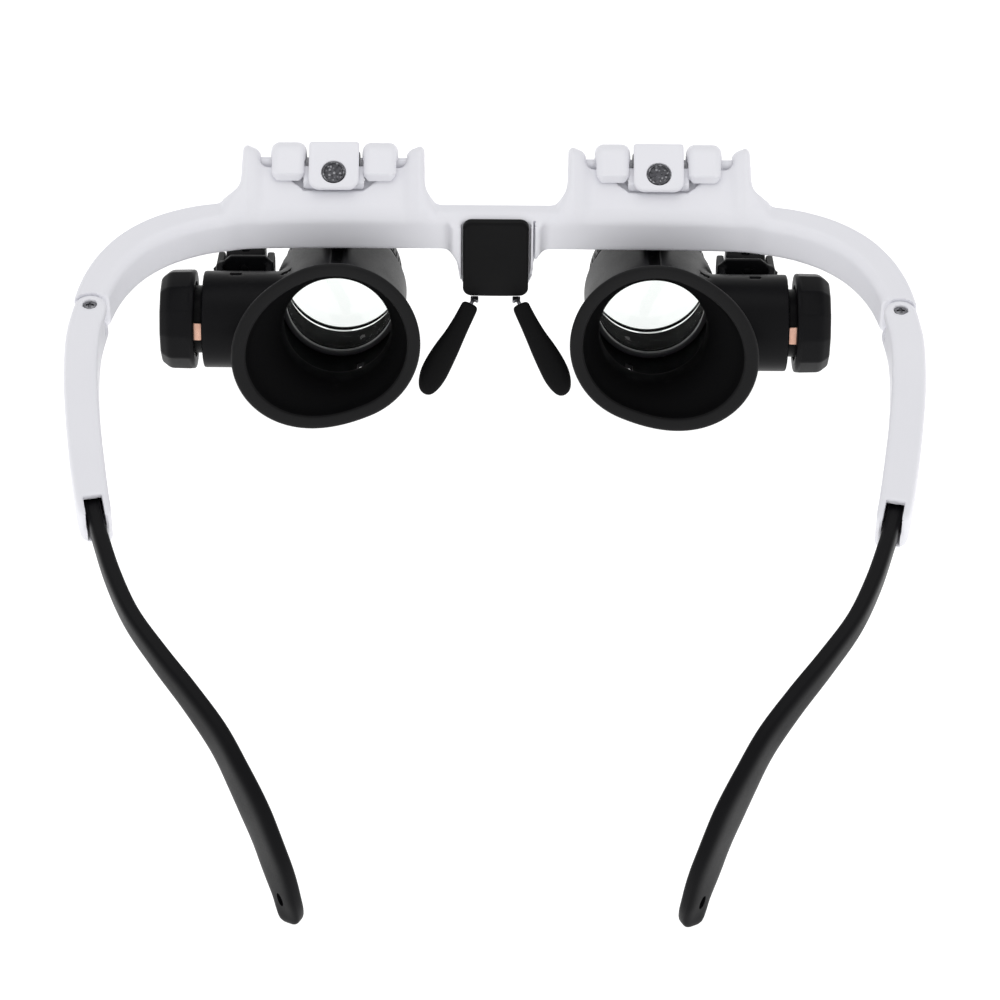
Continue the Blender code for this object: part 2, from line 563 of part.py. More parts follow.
def build_nose_piece(shop):
    """The black block in the tab, and a swivelling pad on a short wire at each lower corner."""
    half, rear, front, bottom, top = NOSE_BLOCK
    shop.add("nose_block", box_mesh("nose_block", (-half, rear, bottom), (half, front, top), 0.7), shop.rubber,
             shop.datum)
    for side, sign in SIDES.items():
        pivot = Vector((sign * PAD_TOP[0], PAD_TOP[1], PAD_TOP[2]))
        low = Vector((sign * PAD_BOTTOM[0], PAD_BOTTOM[1], PAD_BOTTOM[2]))
        along = (low - pivot).normalized()
        broad = Vector(PAD_FACE).cross(along).normalized() * sign
        thin = along.cross(broad)
        rings = []
        for share, thick, wide, lean in PAD_STATIONS:
            middle = (low - pivot) * share + broad * lean
            ring = []
            for i in range(PAD_STEPS):
                angle = math.tau * i / PAD_STEPS
                ring.append(middle + thin * thick * math.cos(angle) + broad * wide * math.sin(angle))
            rings.append(ring)
        shop.add("nose_pad_" + side, loft_mesh("nose_pad", rings), shop.rubber, shop.datum, pivot * MM)
        wire = cylinder_mesh("nose_pad_wire", 0.6, 0, 1.5, 10)
        start = Vector((sign * 4.0, rear + 0.9, bottom - 0.75))
        toward = (pivot - start).normalized()
        turn = toward.to_track_quat("Z", "Y").to_euler()
        shop.add("nose_pad_wire_" + side, wire, shop.steel, shop.datum, start * MM, turn)


def build_loupe(shop, side, sign):
    """One loupe: it turns on the rod, and everything in it is placed in its own frame."""
    pivot = shop.empty("flip_axis_" + side, mm(sign * LOUPE_X, ROD_Y, ROD_Z), shop.datum)
    seat = shop.empty("loupe_frame_" + side, mm(0, AXIS_Y - ROD_Y, AXIS_Z - ROD_Z), pivot,
                      (-math.pi / 2 - DROOP, 0, 0))
    build_barrel(shop, side, sign, seat)
    build_optics(shop, side, seat)
    build_eyecup(shop, side, sign, seat)
    build_battery(shop, side, sign, seat)
    build_lamp(shop, side, sign, seat)
    build_hanger(shop, side, sign, pivot)


def build_barrel(shop, side, sign, seat):
    """The barrel and battery tube moulded as one, with the lamp's ears on the tube."""
    start, end, lip = LENS_LIP
    outside = [(0, BARREL_FRONT), (BARREL_RADIUS - 0.4, BARREL_FRONT), (BARREL_RADIUS, BARREL_FRONT - 0.4),
               (BARREL_RADIUS, BARREL_REAR), (0, BARREL_REAR)]
    barrel = turned(shop, "loupe_body_" + side, outside, shop.black, seat)
    tube = [(0, TUBE_END), (TUBE_RADIUS - 0.3, TUBE_END), (TUBE_RADIUS, TUBE_END - 0.3), (TUBE_RADIUS, 4), (0, 4)]
    neck = [(0, NECK_END), (NECK_RADIUS, NECK_END), (NECK_RADIUS, 20), (0, 20)]
    across = (0, sign * math.pi / 2, 0)
    place = mm(0, TUBE_DOWN, TUBE_STATION)
    shop.shape(barrel, turned(shop, "tube_" + side, tube, shop.black, seat, place, across), "UNION")
    shop.shape(barrel, turned(shop, "neck_" + side, neck, shop.black, seat, place, across, 20), "UNION")
    x, y, z = LAMP_PIVOT
    for name, offset in (("inner", -LAMP_WIDTH / 2 - LAMP_EAR - 0.3), ("outer", LAMP_WIDTH / 2 + 0.3)):
        low, high = span(sign, x + offset, x + offset + LAMP_EAR)
        ear = box_mesh(f"lamp_ear_{name}_{side}", (low, y - 2.6, TUBE_STATION + 5), (high, y + 4.4, z + 2.6), 0.5)
        shop.shape(barrel, shop.add(ear.name, ear, shop.black, seat), "UNION")
    inside = [(0, BARREL_FRONT + 2), (BARREL_BORE, BARREL_FRONT + 2), (BARREL_BORE, end), (lip, end), (lip, start),
              (BARREL_BORE, start), (BARREL_BORE, BARREL_REAR - 2), (0, BARREL_REAR - 2)]
    shop.shape(barrel, turned(shop, "barrel_bore_" + side, inside, shop.black, seat), "DIFFERENCE")
    bore = cylinder_mesh("cell_bore_" + side, CELL_BORE, 17.4, NECK_END + 2, ROUND_STEPS)
    shop.shape(barrel, shop.add(bore.name, bore, shop.black, seat, place, across), "DIFFERENCE")
    pin = cylinder_mesh("pin_bore_" + side, 1.0, -8, 8, 12, axis="X")
    shop.shape(barrel, shop.add(pin.name, pin, shop.black, seat, mm(sign * x, y, z)), "DIFFERENCE")


def lens_profile(radius, edge, crown, middle):
    """A lens that bulges on both faces, as a profile from its front pole to its rear pole."""
    steps = 2
    front = [(radius * i / steps, middle + edge / 2 + crown * (1 - (i / steps) ** 2)) for i in range(steps + 1)]
    rear = [(radius * i / steps, middle - edge / 2 - crown * (1 - (i / steps) ** 2)) for i in range(steps, -1, -1)]
    return front + rear


def build_optics(shop, side, seat):
    """The rear lens with its ring, and the front lens in its screw-in holder."""
    start = LENS_LIP[0]
    turned(shop, "rear_lens_" + side, lens_profile(12.5, 1.2, 0.8, start - 1.0), shop.glass, seat)
    ring = [(11.7, start - 1.9), (12.7, start - 1.9), (12.7, start - 3.4), (11.7, start - 3.4)]
    turned(shop, "rear_lens_ring_" + side, ring, shop.steel, seat, ring=True)
    mouth = HOLDER_FRONT - 1.0
    holder = [(HOLDER_BORE - 0.5, HOLDER_FRONT), (HOLDER_RADIUS - 0.4, HOLDER_FRONT),
              (HOLDER_RADIUS, HOLDER_FRONT - 0.4), (HOLDER_RADIUS, BARREL_FRONT + 0.3),
              (BARREL_BORE - 0.3, BARREL_FRONT + 0.3), (BARREL_BORE - 0.3, LENS_LIP[1] + 0.3),
              (HOLDER_BORE - 0.6, LENS_LIP[1] + 0.3), (HOLDER_BORE - 0.6, mouth - 3.4),
              (HOLDER_BORE, mouth - 3.4), (HOLDER_BORE, mouth), (HOLDER_BORE - 0.5, mouth)]
    turned(shop, "front_lens_holder_" + side, holder, shop.black, seat, ring=True)
    turned(shop, "front_lens_" + side, lens_profile(HOLDER_BORE - 0.3, 1.4, 0.7, mouth - 1.6), shop.glass, seat)


def cup_radius(base, bulge, angle, sign):
    """The eyecup's radius at an angle, fuller at its outer and lower side."""
    toward = CUP_BULGE_ANGLE if sign > 0 else math.pi - CUP_BULGE_ANGLE
    return base + bulge * max(0.0, math.cos(angle - toward)) ** 2


def build_eyecup(shop, side, sign, seat):
    """The rubber eyecup: a spigot in the barrel, and a flared wing that meets the eye socket."""
    rim = CUP_RIM_STATION
    rows = ((BARREL_BORE - 0.3, 0, BARREL_REAR + 6, 0), (BARREL_BORE - 0.3, 0, BARREL_REAR - 0.3, 0),
            (BARREL_RADIUS, 0, BARREL_REAR - 0.3, 0), (BARREL_RADIUS + 0.3, 0.3, BARREL_REAR - 1.6, 0),
            (CUP_RIM - 1.2, CUP_BULGE * 0.75, rim + 2.4, 0.6), (CUP_RIM, CUP_BULGE, rim + 1.0, 1),
            (CUP_RIM, CUP_BULGE, rim + 0.2, 1), (CUP_RIM - 0.7, CUP_BULGE, rim - 0.3, 1),
            (CUP_RIM - 1.9, CUP_BULGE * 0.96, rim - 0.2, 1), (CUP_RIM - 2.4, CUP_BULGE * 0.92, rim + 0.6, 1),
            (BARREL_RADIUS - 0.9, CUP_BULGE * 0.35, rim + 4.4, 0.3), (11.6, 0, BARREL_REAR + 1.2, 0),
            (11.4, 0, BARREL_REAR + 6, 0))
    rings = []
    for base, bulge, station, wing in rows:
        ring = []
        for i in range(ROUND_STEPS):
            angle = math.tau * i / ROUND_STEPS
            radius = cup_radius(base, bulge, angle, sign)
            lean = cup_radius(0, CUP_WING * wing, angle, sign)
            ring.append((radius * math.cos(angle), radius * math.sin(angle), station - lean))
        rings.append(ring)
    shop.add("eyecup_" + side, loft_mesh("eyecup", rings, closed=True), shop.rubber, seat)


def build_battery(shop, side, sign, seat):
    """Three button cells with their spring, the contact strip on the neck, and the twist cap."""
    axis = shop.empty("tube_axis_" + side, mm(0, TUBE_DOWN, TUBE_STATION), seat, (0, sign * math.pi / 2, 0))
    for i in range(3):
        low = CELL_FIRST + i * CELL_PITCH
        profile = [(0, low + CELL_THICKNESS), (CELL_RADIUS - 1.0, low + CELL_THICKNESS),
                   (CELL_RADIUS - 1.0, low + CELL_THICKNESS - 0.3), (CELL_RADIUS, low + CELL_THICKNESS - 0.5),
                   (CELL_RADIUS, low), (0, low)]
        turned(shop, f"button_cell_{i + 1}_{side}", profile, shop.cell, axis, steps=20)
    build_spring(shop, side, axis)
    strip = box_mesh("contact_strip", (-STRIP_WIDTH / 2, -NECK_RADIUS - 0.5, TUBE_END + 0.2),
                     (STRIP_WIDTH / 2, -NECK_RADIUS - 0.25, NECK_END - 0.6))
    shop.add("contact_strip_" + side, strip, shop.copper, axis, rotation=(0, 0, sign * math.pi / 2))
    cap = [(0, CAP_END), (CAP_RADIUS - 1.8, CAP_END), (CAP_RADIUS - 0.6, CAP_END - 0.6), (CAP_RADIUS, CAP_END - 1.8),
           (CAP_RADIUS, CAP_START + 0.3), (CAP_RADIUS - 0.3, CAP_START), (CAP_BORE, CAP_START),
           (CAP_BORE, CAP_END - 2.0), (0, CAP_END - 2.0)]
    turned(shop, "battery_cap_" + side, cap, shop.black, axis)


def build_spring(shop, side, axis):
    """The conical contact spring behind the cells."""
    curve = bpy.data.curves.new("battery_spring", "CURVE")
    curve.dimensions = "3D"
    curve.bevel_depth = SPRING_WIRE * MM
    curve.bevel_resolution = 0
    curve.use_fill_caps = True
    count = SPRING_TURNS * SPRING_STEPS + 1
    spline = curve.splines.new("POLY")
    spline.points.add(count - 1)
    for i, point in enumerate(spline.points):
        share = i / (count - 1)
        angle = math.tau * SPRING_TURNS * share
        radius = SPRING_WIDE + (SPRING_NARROW - SPRING_WIDE) * share
        height = SPRING_LOW + (SPRING_HIGH - SPRING_LOW) * share
        point.co = (*mm(radius * math.cos(angle), radius * math.sin(angle), height), 1)
    holder = bpy.data.objects.new("battery_spring", curve)
    bpy.context.scene.collection.objects.link(holder)
    graph = bpy.context.evaluated_depsgraph_get()
    mesh = bpy.data.meshes.new_from_object(holder.evaluated_get(graph))
    bpy.data.objects.remove(holder)
    bm = bmesh.new()
    bm.from_mesh(mesh)
    bmesh.ops.remove_doubles(bm, verts=bm.verts, dist=MM * 0.01)
    shop.add("battery_spring_" + side, mesh_of(bm, "battery_spring"), shop.steel, axis)


def build_lamp(shop, side, sign, seat):
    """The lamp housing on its pin between the tube's ears, with the lamp in its mouth."""
    x, y, z = LAMP_PIVOT
    pivot = shop.empty("lamp_pivot_" + side, mm(sign * x, y, z), seat)
    half = LAMP_WIDTH / 2
    body = cylinder_mesh("lamp_housing", LAMP_RADIUS, -half, half, 16, axis="X")
    housing = shop.add("lamp_housing_" + side, body, shop.black, pivot)
    snout = cylinder_mesh("lamp_snout_" + side, 3.6, 0, 8.2, 16)
    shop.shape(housing, shop.add(snout.name, snout, shop.black, pivot), "UNION")
    socket = cylinder_mesh("lamp_socket_" + side, 2.9, 3.4, 12, 16)
    shop.shape(housing, shop.add(socket.name, socket, shop.black, pivot), "DIFFERENCE")
    bore = cylinder_mesh("lamp_bore_" + side, 1.0, -9, 9, 12, axis="X")
    shop.shape(housing, shop.add(bore.name, bore, shop.black, pivot), "DIFFERENCE")
    bulb = [(0, 8.0), (1.3, 7.6), (2.1, 6.7), (2.4, 5.4), (2.4, 4.3), (2.7, 4.3), (2.7, 3.6), (0, 3.6)]
    turned(shop, "lamp_" + side, bulb, shop.lamp, pivot, steps=12)
    pin = cylinder_mesh("lamp_pin", 0.8, -half - 1.7, half + 1.7, 12, axis="X")
    shop.add("lamp_pin_" + side, pin, shop.steel, pivot)


def build_hanger(shop, side, sign, pivot):
    """The black hanger from the rod down to a saddle on top of the barrel."""
    shift = sign * (CARRIAGE_X - LOUPE_X)
    knuckle = cylinder_mesh("loupe_hanger", 2.7, -5.4, 5.4, 16, axis="X", at=(shift, 0, 0))
    hanger = shop.add("loupe_hanger_" + side, knuckle, shop.black, pivot)
    top_line = Vector((AXIS_Y - ROD_Y + (BARREL_RADIUS + 0.3) * math.sin(DROOP),
                       AXIS_Z - ROD_Z + (BARREL_RADIUS + 0.3) * math.cos(DROOP)))
    forward = Vector((math.cos(DROOP), -math.sin(DROOP)))
    rise = Vector((math.sin(DROOP), math.cos(DROOP)))
    rear, front = top_line + forward * 12.6, top_line + forward * 17.6
    lift = rise * 1.6
    arm = [(-2.2, 0), (-2.0, -9), tuple(rear + lift), tuple(rear), tuple(front), tuple(front + lift), (2.2, -9),
           (2.4, 0)]
    mesh = plate_mesh("hanger_arm_" + side, arm, -4 + shift, 4 + shift, SIDEWAYS)
    shop.shape(hanger, shop.add(mesh.name, mesh, shop.black, pivot), "UNION")
    bore = cylinder_mesh("hanger_bore_" + side, ROD_BORE, -9, 9, axis="X", at=(shift, 0, 0))
    shop.shape(hanger, shop.add(bore.name, bore, shop.black, pivot), "DIFFERENCE")


def main():
    shop = Workshop()
    build_front_frame(shop)
    build_nose_piece(shop)
    for side, sign in SIDES.items():
        build_temple(shop, side, sign)
        build_rod(shop, side, sign)
        build_carriage(shop, side, sign)
        build_loupe(shop, side, sign)


main()
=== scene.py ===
"""Looks of a glasses-type binocular magnifier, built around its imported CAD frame.

Every size is in millimetres and every shape is made in one of three frames of the object: the design frame, whose
datum lies on the plane of the brow bar's flat top, the frame of a loupe (x outward, y down, z forward on the optical
axis), or the frame of a battery tube (z outward on the tube's axis). A matrix then takes a shape to world metres.
"""

import json
import logging
import math
from collections.abc import Callable, Iterable, Sequence
from dataclasses import dataclass, field
from enum import Enum
from itertools import product
from typing import Any

import bpy
import numpy as np
from mathutils import Matrix, Vector

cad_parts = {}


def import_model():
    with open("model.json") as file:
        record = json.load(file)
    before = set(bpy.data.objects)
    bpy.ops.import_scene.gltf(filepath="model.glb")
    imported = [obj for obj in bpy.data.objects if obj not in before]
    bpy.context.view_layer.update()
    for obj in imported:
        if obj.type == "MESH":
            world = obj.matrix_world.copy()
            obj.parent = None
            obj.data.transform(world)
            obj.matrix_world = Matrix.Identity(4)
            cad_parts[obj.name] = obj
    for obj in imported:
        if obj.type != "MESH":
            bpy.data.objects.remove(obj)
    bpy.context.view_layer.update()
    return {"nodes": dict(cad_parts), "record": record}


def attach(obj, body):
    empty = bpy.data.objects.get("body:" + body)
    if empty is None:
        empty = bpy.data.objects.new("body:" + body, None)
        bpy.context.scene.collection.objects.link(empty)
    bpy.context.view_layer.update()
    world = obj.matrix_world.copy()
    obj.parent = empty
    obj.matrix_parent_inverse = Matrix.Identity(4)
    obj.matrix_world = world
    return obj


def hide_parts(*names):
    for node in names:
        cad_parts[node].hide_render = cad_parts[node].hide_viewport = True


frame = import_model()

log = logging.getLogger("magnifier")

MM = 0.001
SMOOTH_ANGLE = math.radians(38)
Values = np.ndarray
Rule = Callable[[Values, Values, Values], Values]
Pair = tuple[float, float]


class Side(Enum):
    """The two sides of the wearer, with the sign of their x."""

    LEFT = -1
    RIGHT = 1

    @property
    def label(self) -> str:
        """The ending of this side's names."""
        return self.name.lower()


# --------------------------------------------------------------------------------------------------------------
# Shapes
# --------------------------------------------------------------------------------------------------------------


@dataclass
class Shape:
    """A closed skin: its points, its faces and the finish number of each face."""

    points: np.ndarray
    faces: list[list[int]]
    marks: np.ndarray | None = None

    def outward(self) -> "Shape":
        """Turns every face round if the skin is inside out.

        Returns:
            The shape with its faces pointing out.
        """
        volume = 0.0
        for size in {len(face) for face in self.faces}:
            chosen = np.array([face for face in self.faces if len(face) == size])
            first = self.points[chosen[:, 0]]
            for corner in range(1, size - 1):
                second, third = self.points[chosen[:, corner]], self.points[chosen[:, corner + 1]]
                volume += float(np.einsum("ij,ij->i", first, np.cross(second, third)).sum())
        if volume < 0:
            self.faces = [face[::-1] for face in self.faces]
        return self

    def centres(self) -> np.ndarray:
        """The middle of each face, for choosing finishes."""
        return np.array([self.points[face].mean(axis=0) for face in self.faces])

    def marked(self, rule: Callable[[Values, Values, Values], Values]) -> "Shape":
        """Gives the second finish to the faces that the rule picks.

        Args:
            rule: Takes the x, y and z of the faces' middles and says which are picked.

        Returns:
            The same shape.
        """
        middle = self.centres()
        self.marks = rule(middle[:, 0], middle[:, 1], middle[:, 2]).astype(int)
        return self

    def placed(self, matrix: Matrix) -> "Shape":
        """A copy of the shape taken through a matrix."""
        grid = np.array(matrix)
        points = self.points @ grid[:3, :3].T + grid[:3, 3]
        return Shape(points, self.faces, self.marks)

    def mirrored(self) -> "Shape":
        """A copy on the wearer's other side."""
        return Shape(self.points * np.array((-1.0, 1.0, 1.0)), [face[::-1] for face in self.faces], self.marks)

    def joined(self, other: "Shape") -> "Shape":
        """One shape of two loose ones."""
        count = len(self.points)
        moved = [[corner + count for corner in face] for face in other.faces]
        return Shape(np.vstack((self.points, other.points)), self.faces + moved)


def smooth_line(points: Sequence[tuple[float, ...]], parts: int) -> list[tuple[float, ...]]:
    """Points on a smooth curve through the given ones.

    Args:
        points: Points with any number of values, all blended alike.
        parts: How many steps each stretch is cut into.

    Returns:
        The points of the curve, from the first to the last.
    """
    last = len(points) - 1
    made = []
    for i in range(last):
        before, start, end, after = points[max(i - 1, 0)], points[i], points[i + 1], points[min(i + 2, last)]
        for part in range(parts):
            t = part / parts
            made.append(tuple(
                0.5 * (2 * b + (c - a) * t + (2 * a - 5 * b + 4 * c - d) * t * t + (3 * b - a - 3 * c + d) * t**3)
                for a, b, c, d in zip(before, start, end, after)
            ))
    return [*made, tuple(points[last])]


def eased(corners: Sequence[tuple[float, float, float]], closed: bool = False, steps: int = 5) -> list[Pair]:
    """A profile whose corners are rounded.

    Args:
        corners: Radius, height and how much of each corner is rounded off.
        closed: Whether the profile runs back to its start.
        steps: Steps in each rounded corner.

    Returns:
        The points of the profile.
    """
    count = len(corners)
    made: list[Pair] = []
    for i, (u, v, ease) in enumerate(corners):
        at_end = not closed and i in (0, count - 1)
        if at_end or ease <= 0:
            made.append((u, v))
            continue
        here = Vector((u, v))
        before, after = Vector(corners[i - 1][:2]), Vector(corners[(i + 1) % count][:2])
        start = here + (before - here).normalized() * min(ease, (before - here).length * 0.49)
        end = here + (after - here).normalized() * min(ease, (after - here).length * 0.49)
        for step in range(steps + 1):
            t = step / steps
            point = start * (1 - t) ** 2 + here * 2 * t * (1 - t) + end * t * t
            made.append((point.x, point.y))
    return made


def turn(profile: Sequence[Pair], steps: int = 96, closed: bool = False,
         waves: Callable[[float, float, float], float] | None = None) -> Shape:
    """A turned piece about the z axis.

    Args:
        profile: Radius and height of each point, running round the piece's wall.
        steps: Steps round the axis.
        closed: Whether the profile is a loop, as a ring's is.
        waves: Changes a radius by angle and height, for scallops.

    Returns:
        The closed shape.
    """
    angles = [math.tau * i / steps for i in range(steps)]
    points: list[tuple[float, float, float]] = []
    rows: list[list[int]] = []
    for radius, height in profile:
        if radius < 1e-6:
            rows.append([len(points)] * steps)
            points.append((0.0, 0.0, height))
            continue
        rows.append(list(range(len(points), len(points) + steps)))
        for angle in angles:
            wide = waves(radius, angle, height) if waves else radius
            points.append((wide * math.cos(angle), wide * math.sin(angle), height))
    pairs = list(zip(rows, rows[1:]))
    if closed:
        pairs.append((rows[-1], rows[0]))
    faces = []
    for first, second in pairs:
        for i in range(steps):
            j = (i + 1) % steps
            face = list(dict.fromkeys((first[i], first[j], second[j], second[i])))
            if len(face) > 2:
                faces.append(face)
    return Shape(np.array(points), faces).outward()


def loft(rings: Sequence[Sequence[Sequence[float]]], closed: bool = False) -> Shape:
    """A skin over rings of equally many points, capped at both ends unless it closes on itself."""
    count = len(rings[0])
    points = np.array([list(point) for ring in rings for point in ring], float)
    starts = [count * i for i in range(len(rings))]
    pairs = list(zip(starts, starts[1:]))
    if closed:
        pairs.append((starts[-1], starts[0]))
    faces = [[a + i, a + (i + 1) % count, b + (i + 1) % count, b + i] for a, b in pairs for i in range(count)]
    if not closed:
        faces.append(list(range(count))[::-1])
        faces.append([starts[-1] + i for i in range(count)])
    return Shape(points, faces).outward()


# --------------------------------------------------------------------------------------------------------------
# Moulded forms: a rule gives the distance to the surface, below zero inside, and skin() puts a mesh on it
# --------------------------------------------------------------------------------------------------------------


def fuse(first: Values, second: Values, reach: float) -> Values:
    """Two forms grown together with a fillet of about the reach."""
    share = np.maximum(reach - np.abs(first - second), 0.0) / reach
    return np.minimum(first, second) - share * share * reach / 4


def carve(body: Values, tool: Values, reach: float = 0.3) -> Values:
    """The body less the tool, with the new edge eased by about the reach."""
    return -fuse(-body, tool, reach)


def meet(first: Values, second: Values, radius: float) -> Values:
    """What two forms share, with a rounded edge of that radius."""
    a, b = first + radius, second + radius
    return np.minimum(np.maximum(a, b), 0.0) + np.hypot(np.maximum(a, 0.0), np.maximum(b, 0.0)) - radius


def between(value: Values, low: float | Values, high: float | Values) -> Values:
    """A slab between two limits."""
    return np.maximum(low - value, value - high)


def block(x: Values, y: Values, z: Values, low: Sequence[float], high: Sequence[float], radius: float) -> Values:
    """A box between two corners with rounded edges."""
    plan = meet(between(x, low[0], high[0]), between(y, low[1], high[1]), radius)
    return meet(plan, between(z, low[2], high[2]), radius)


def along_line(u: Values, v: Values, line: Sequence[tuple[float, ...]]) -> tuple[Values, Values]:
    """How far points lie to the right of a line in plan, and half its width there.

    Args:
        u: The points' first coordinate.
        v: The points' second coordinate.
        line: First and second coordinate and width of each point of the line.

    Returns:
        The signed distance from the line and half of the line's width at the nearest place.
    """
    best = side = half = None
    for (u0, v0, w0), (u1, v1, w1) in zip(line, line[1:]):
        du, dv = u1 - u0, v1 - v0
        t = np.clip(((u - u0) * du + (v - v0) * dv) / (du * du + dv * dv), 0.0, 1.0)
        away = np.hypot(u - u0 - t * du, v - v0 - t * dv)
        right = np.where((u - u0) * dv - (v - v0) * du >= 0, away, -away)
        width = (w0 + (w1 - w0) * t) / 2
        if best is None:
            best, side, half = away, right, width
            continue
        nearer = away < best
        best, side, half = np.where(nearer, away, best), np.where(nearer, right, side), np.where(nearer, width, half)
    return side, half


def outline(u: Values, v: Values, corners: Sequence[Pair]) -> Values:
    """The signed distance to a flat outline."""
    best: Values | None = None
    inside = np.zeros(np.broadcast(u, v).shape, bool)
    for (u0, v0), (u1, v1) in zip(corners, [*corners[1:], corners[0]]):
        du, dv = u1 - u0, v1 - v0
        t = np.clip(((u - u0) * du + (v - v0) * dv) / (du * du + dv * dv), 0.0, 1.0)
        away = np.hypot(u - u0 - t * du, v - v0 - t * dv)
        best = away if best is None else np.minimum(best, away)
        if dv:
            inside = inside ^ (((v0 > v) != (v1 > v)) & (u < du * (v - v0) / dv + u0))
    return np.where(inside, -best, best)


def arc(centre: Pair, radius: float, first: float, last: float, steps: int = 24) -> list[Pair]:
    """Points on an arc, with its angles in degrees."""
    angles = [math.radians(first + (last - first) * i / steps) for i in range(steps + 1)]
    return [(centre[0] + radius * math.cos(a), centre[1] + radius * math.sin(a)) for a in angles]


def crossing_points(values: Values, cells: np.ndarray) -> np.ndarray:
    """Where the surface crosses the edges of each cell, averaged, in steps of the grid."""
    total = np.zeros((len(cells), 3))
    hits = np.zeros(len(cells))
    for axis in range(3):
        unit = np.eye(3, dtype=int)[axis]
        for offset in product((0, 1), repeat=2):
            start = cells + np.insert(np.array(offset), axis, 0)
            first, second = values[tuple(start.T)], values[tuple((start + unit).T)]
            cross = (first < 0) != (second < 0)
            share = first[cross] / (first[cross] - second[cross])
            total[cross] += start[cross] + share[:, None] * unit
            hits[cross] += 1
    return total / hits[:, None]


def settle(points: np.ndarray, rule: Rule, reach: float) -> np.ndarray:
    """Moves points onto the rule's surface, by no more than the reach in each round."""
    small = 0.01
    for _ in range(3):
        value = rule(*points.T)
        slope = np.stack([
            (rule(*(points + small * axis).T) - rule(*(points - small * axis).T)) / (2 * small) for axis in np.eye(3)
        ], axis=1)
        steep = np.maximum((slope**2).sum(axis=1), 0.25)
        move = -(value / steep)[:, None] * slope
        length = np.linalg.norm(move, axis=1)
        points = points + move * np.minimum(1.0, reach / np.maximum(length, 1e-9))[:, None]
    return points


def skin(rule: Rule, low: Sequence[float], high: Sequence[float], step: float) -> Shape:
    """The closed surface of a moulded form.

    Args:
        rule: The distance to the surface, below zero inside.
        low: A corner below the form.
        high: A corner above the form.
        step: The spacing of the mesh.

    Returns:
        The surface as quads that point out.
    """
    axes = [np.arange(a - 1.5 * step, b + 2.5 * step, step) for a, b in zip(low, high)]
    shape = tuple(len(axis) for axis in axes)
    values = rule(axes[0][:, None, None], axes[1][None, :, None], axes[2][None, None, :])
    values = np.broadcast_to(values, shape)
    inside = values < 0
    cell_shape = tuple(n - 1 for n in shape)
    held = np.zeros(cell_shape, np.int8)
    for corner in product((0, 1), repeat=3):
        held += inside[tuple(slice(c, c + n) for c, n in zip(corner, cell_shape))]
    cells = np.argwhere((held > 0) & (held < 8))
    number = np.full(cell_shape, -1)
    number[tuple(cells.T)] = np.arange(len(cells))
    start = np.array([axis[0] for axis in axes])
    points = settle(start + step * crossing_points(values, cells), rule, step * 0.4)
    faces: list[list[int]] = []
    for axis in range(3):
        second, third = (axis + 1) % 3, (axis + 2) % 3
        near = tuple(slice(0, -1) if a == axis else slice(None) for a in range(3))
        far = tuple(slice(1, None) if a == axis else slice(None) for a in range(3))
        spots = np.argwhere(inside[near] != inside[far])
        quad = []
        for down, back in ((1, 1), (0, 1), (0, 0), (1, 0)):
            at = spots.copy()
            at[:, second] -= down
            at[:, third] -= back
            quad.append(number[tuple(at.T)])
        loop = np.stack(quad, axis=1)
        out = inside[near][tuple(spots.T)]
        loop[~out] = loop[~out][:, ::-1]
        faces += loop.tolist()
    return Shape(points, faces)


# --------------------------------------------------------------------------------------------------------------
# Nodes and finishes
# --------------------------------------------------------------------------------------------------------------


def linear(colour: str) -> tuple[float, float, float, float]:
    """An sRGB hex colour as linear values with full alpha."""
    made = []
    for i in (1, 3, 5):
        value = int(colour[i:i + 2], 16) / 255
        made.append(value / 12.92 if value <= 0.04045 else ((value + 0.055) / 1.055) ** 2.4)
    return (made[0], made[1], made[2], 1.0)


def add_node(tree: bpy.types.NodeTree, kind: str, settings: dict[str, Any] | None = None,
             inputs: dict[str | int, Any] | None = None) -> bpy.types.Node:
    """Adds a node to a tree.

    Args:
        tree: The tree it goes in.
        kind: The node's type name.
        settings: Its own properties by name.
        inputs: A value, or another node's output to link, for each input by name or number.

    Returns:
        The new node.
    """
    node = tree.nodes.new(kind)
    for name, value in (settings or {}).items():
        setattr(node, name, value)
    for name, value in (inputs or {}).items():
        if isinstance(value, bpy.types.NodeSocket):
            tree.links.new(value, node.inputs[name])
        else:
            node.inputs[name].default_value = value
    return node


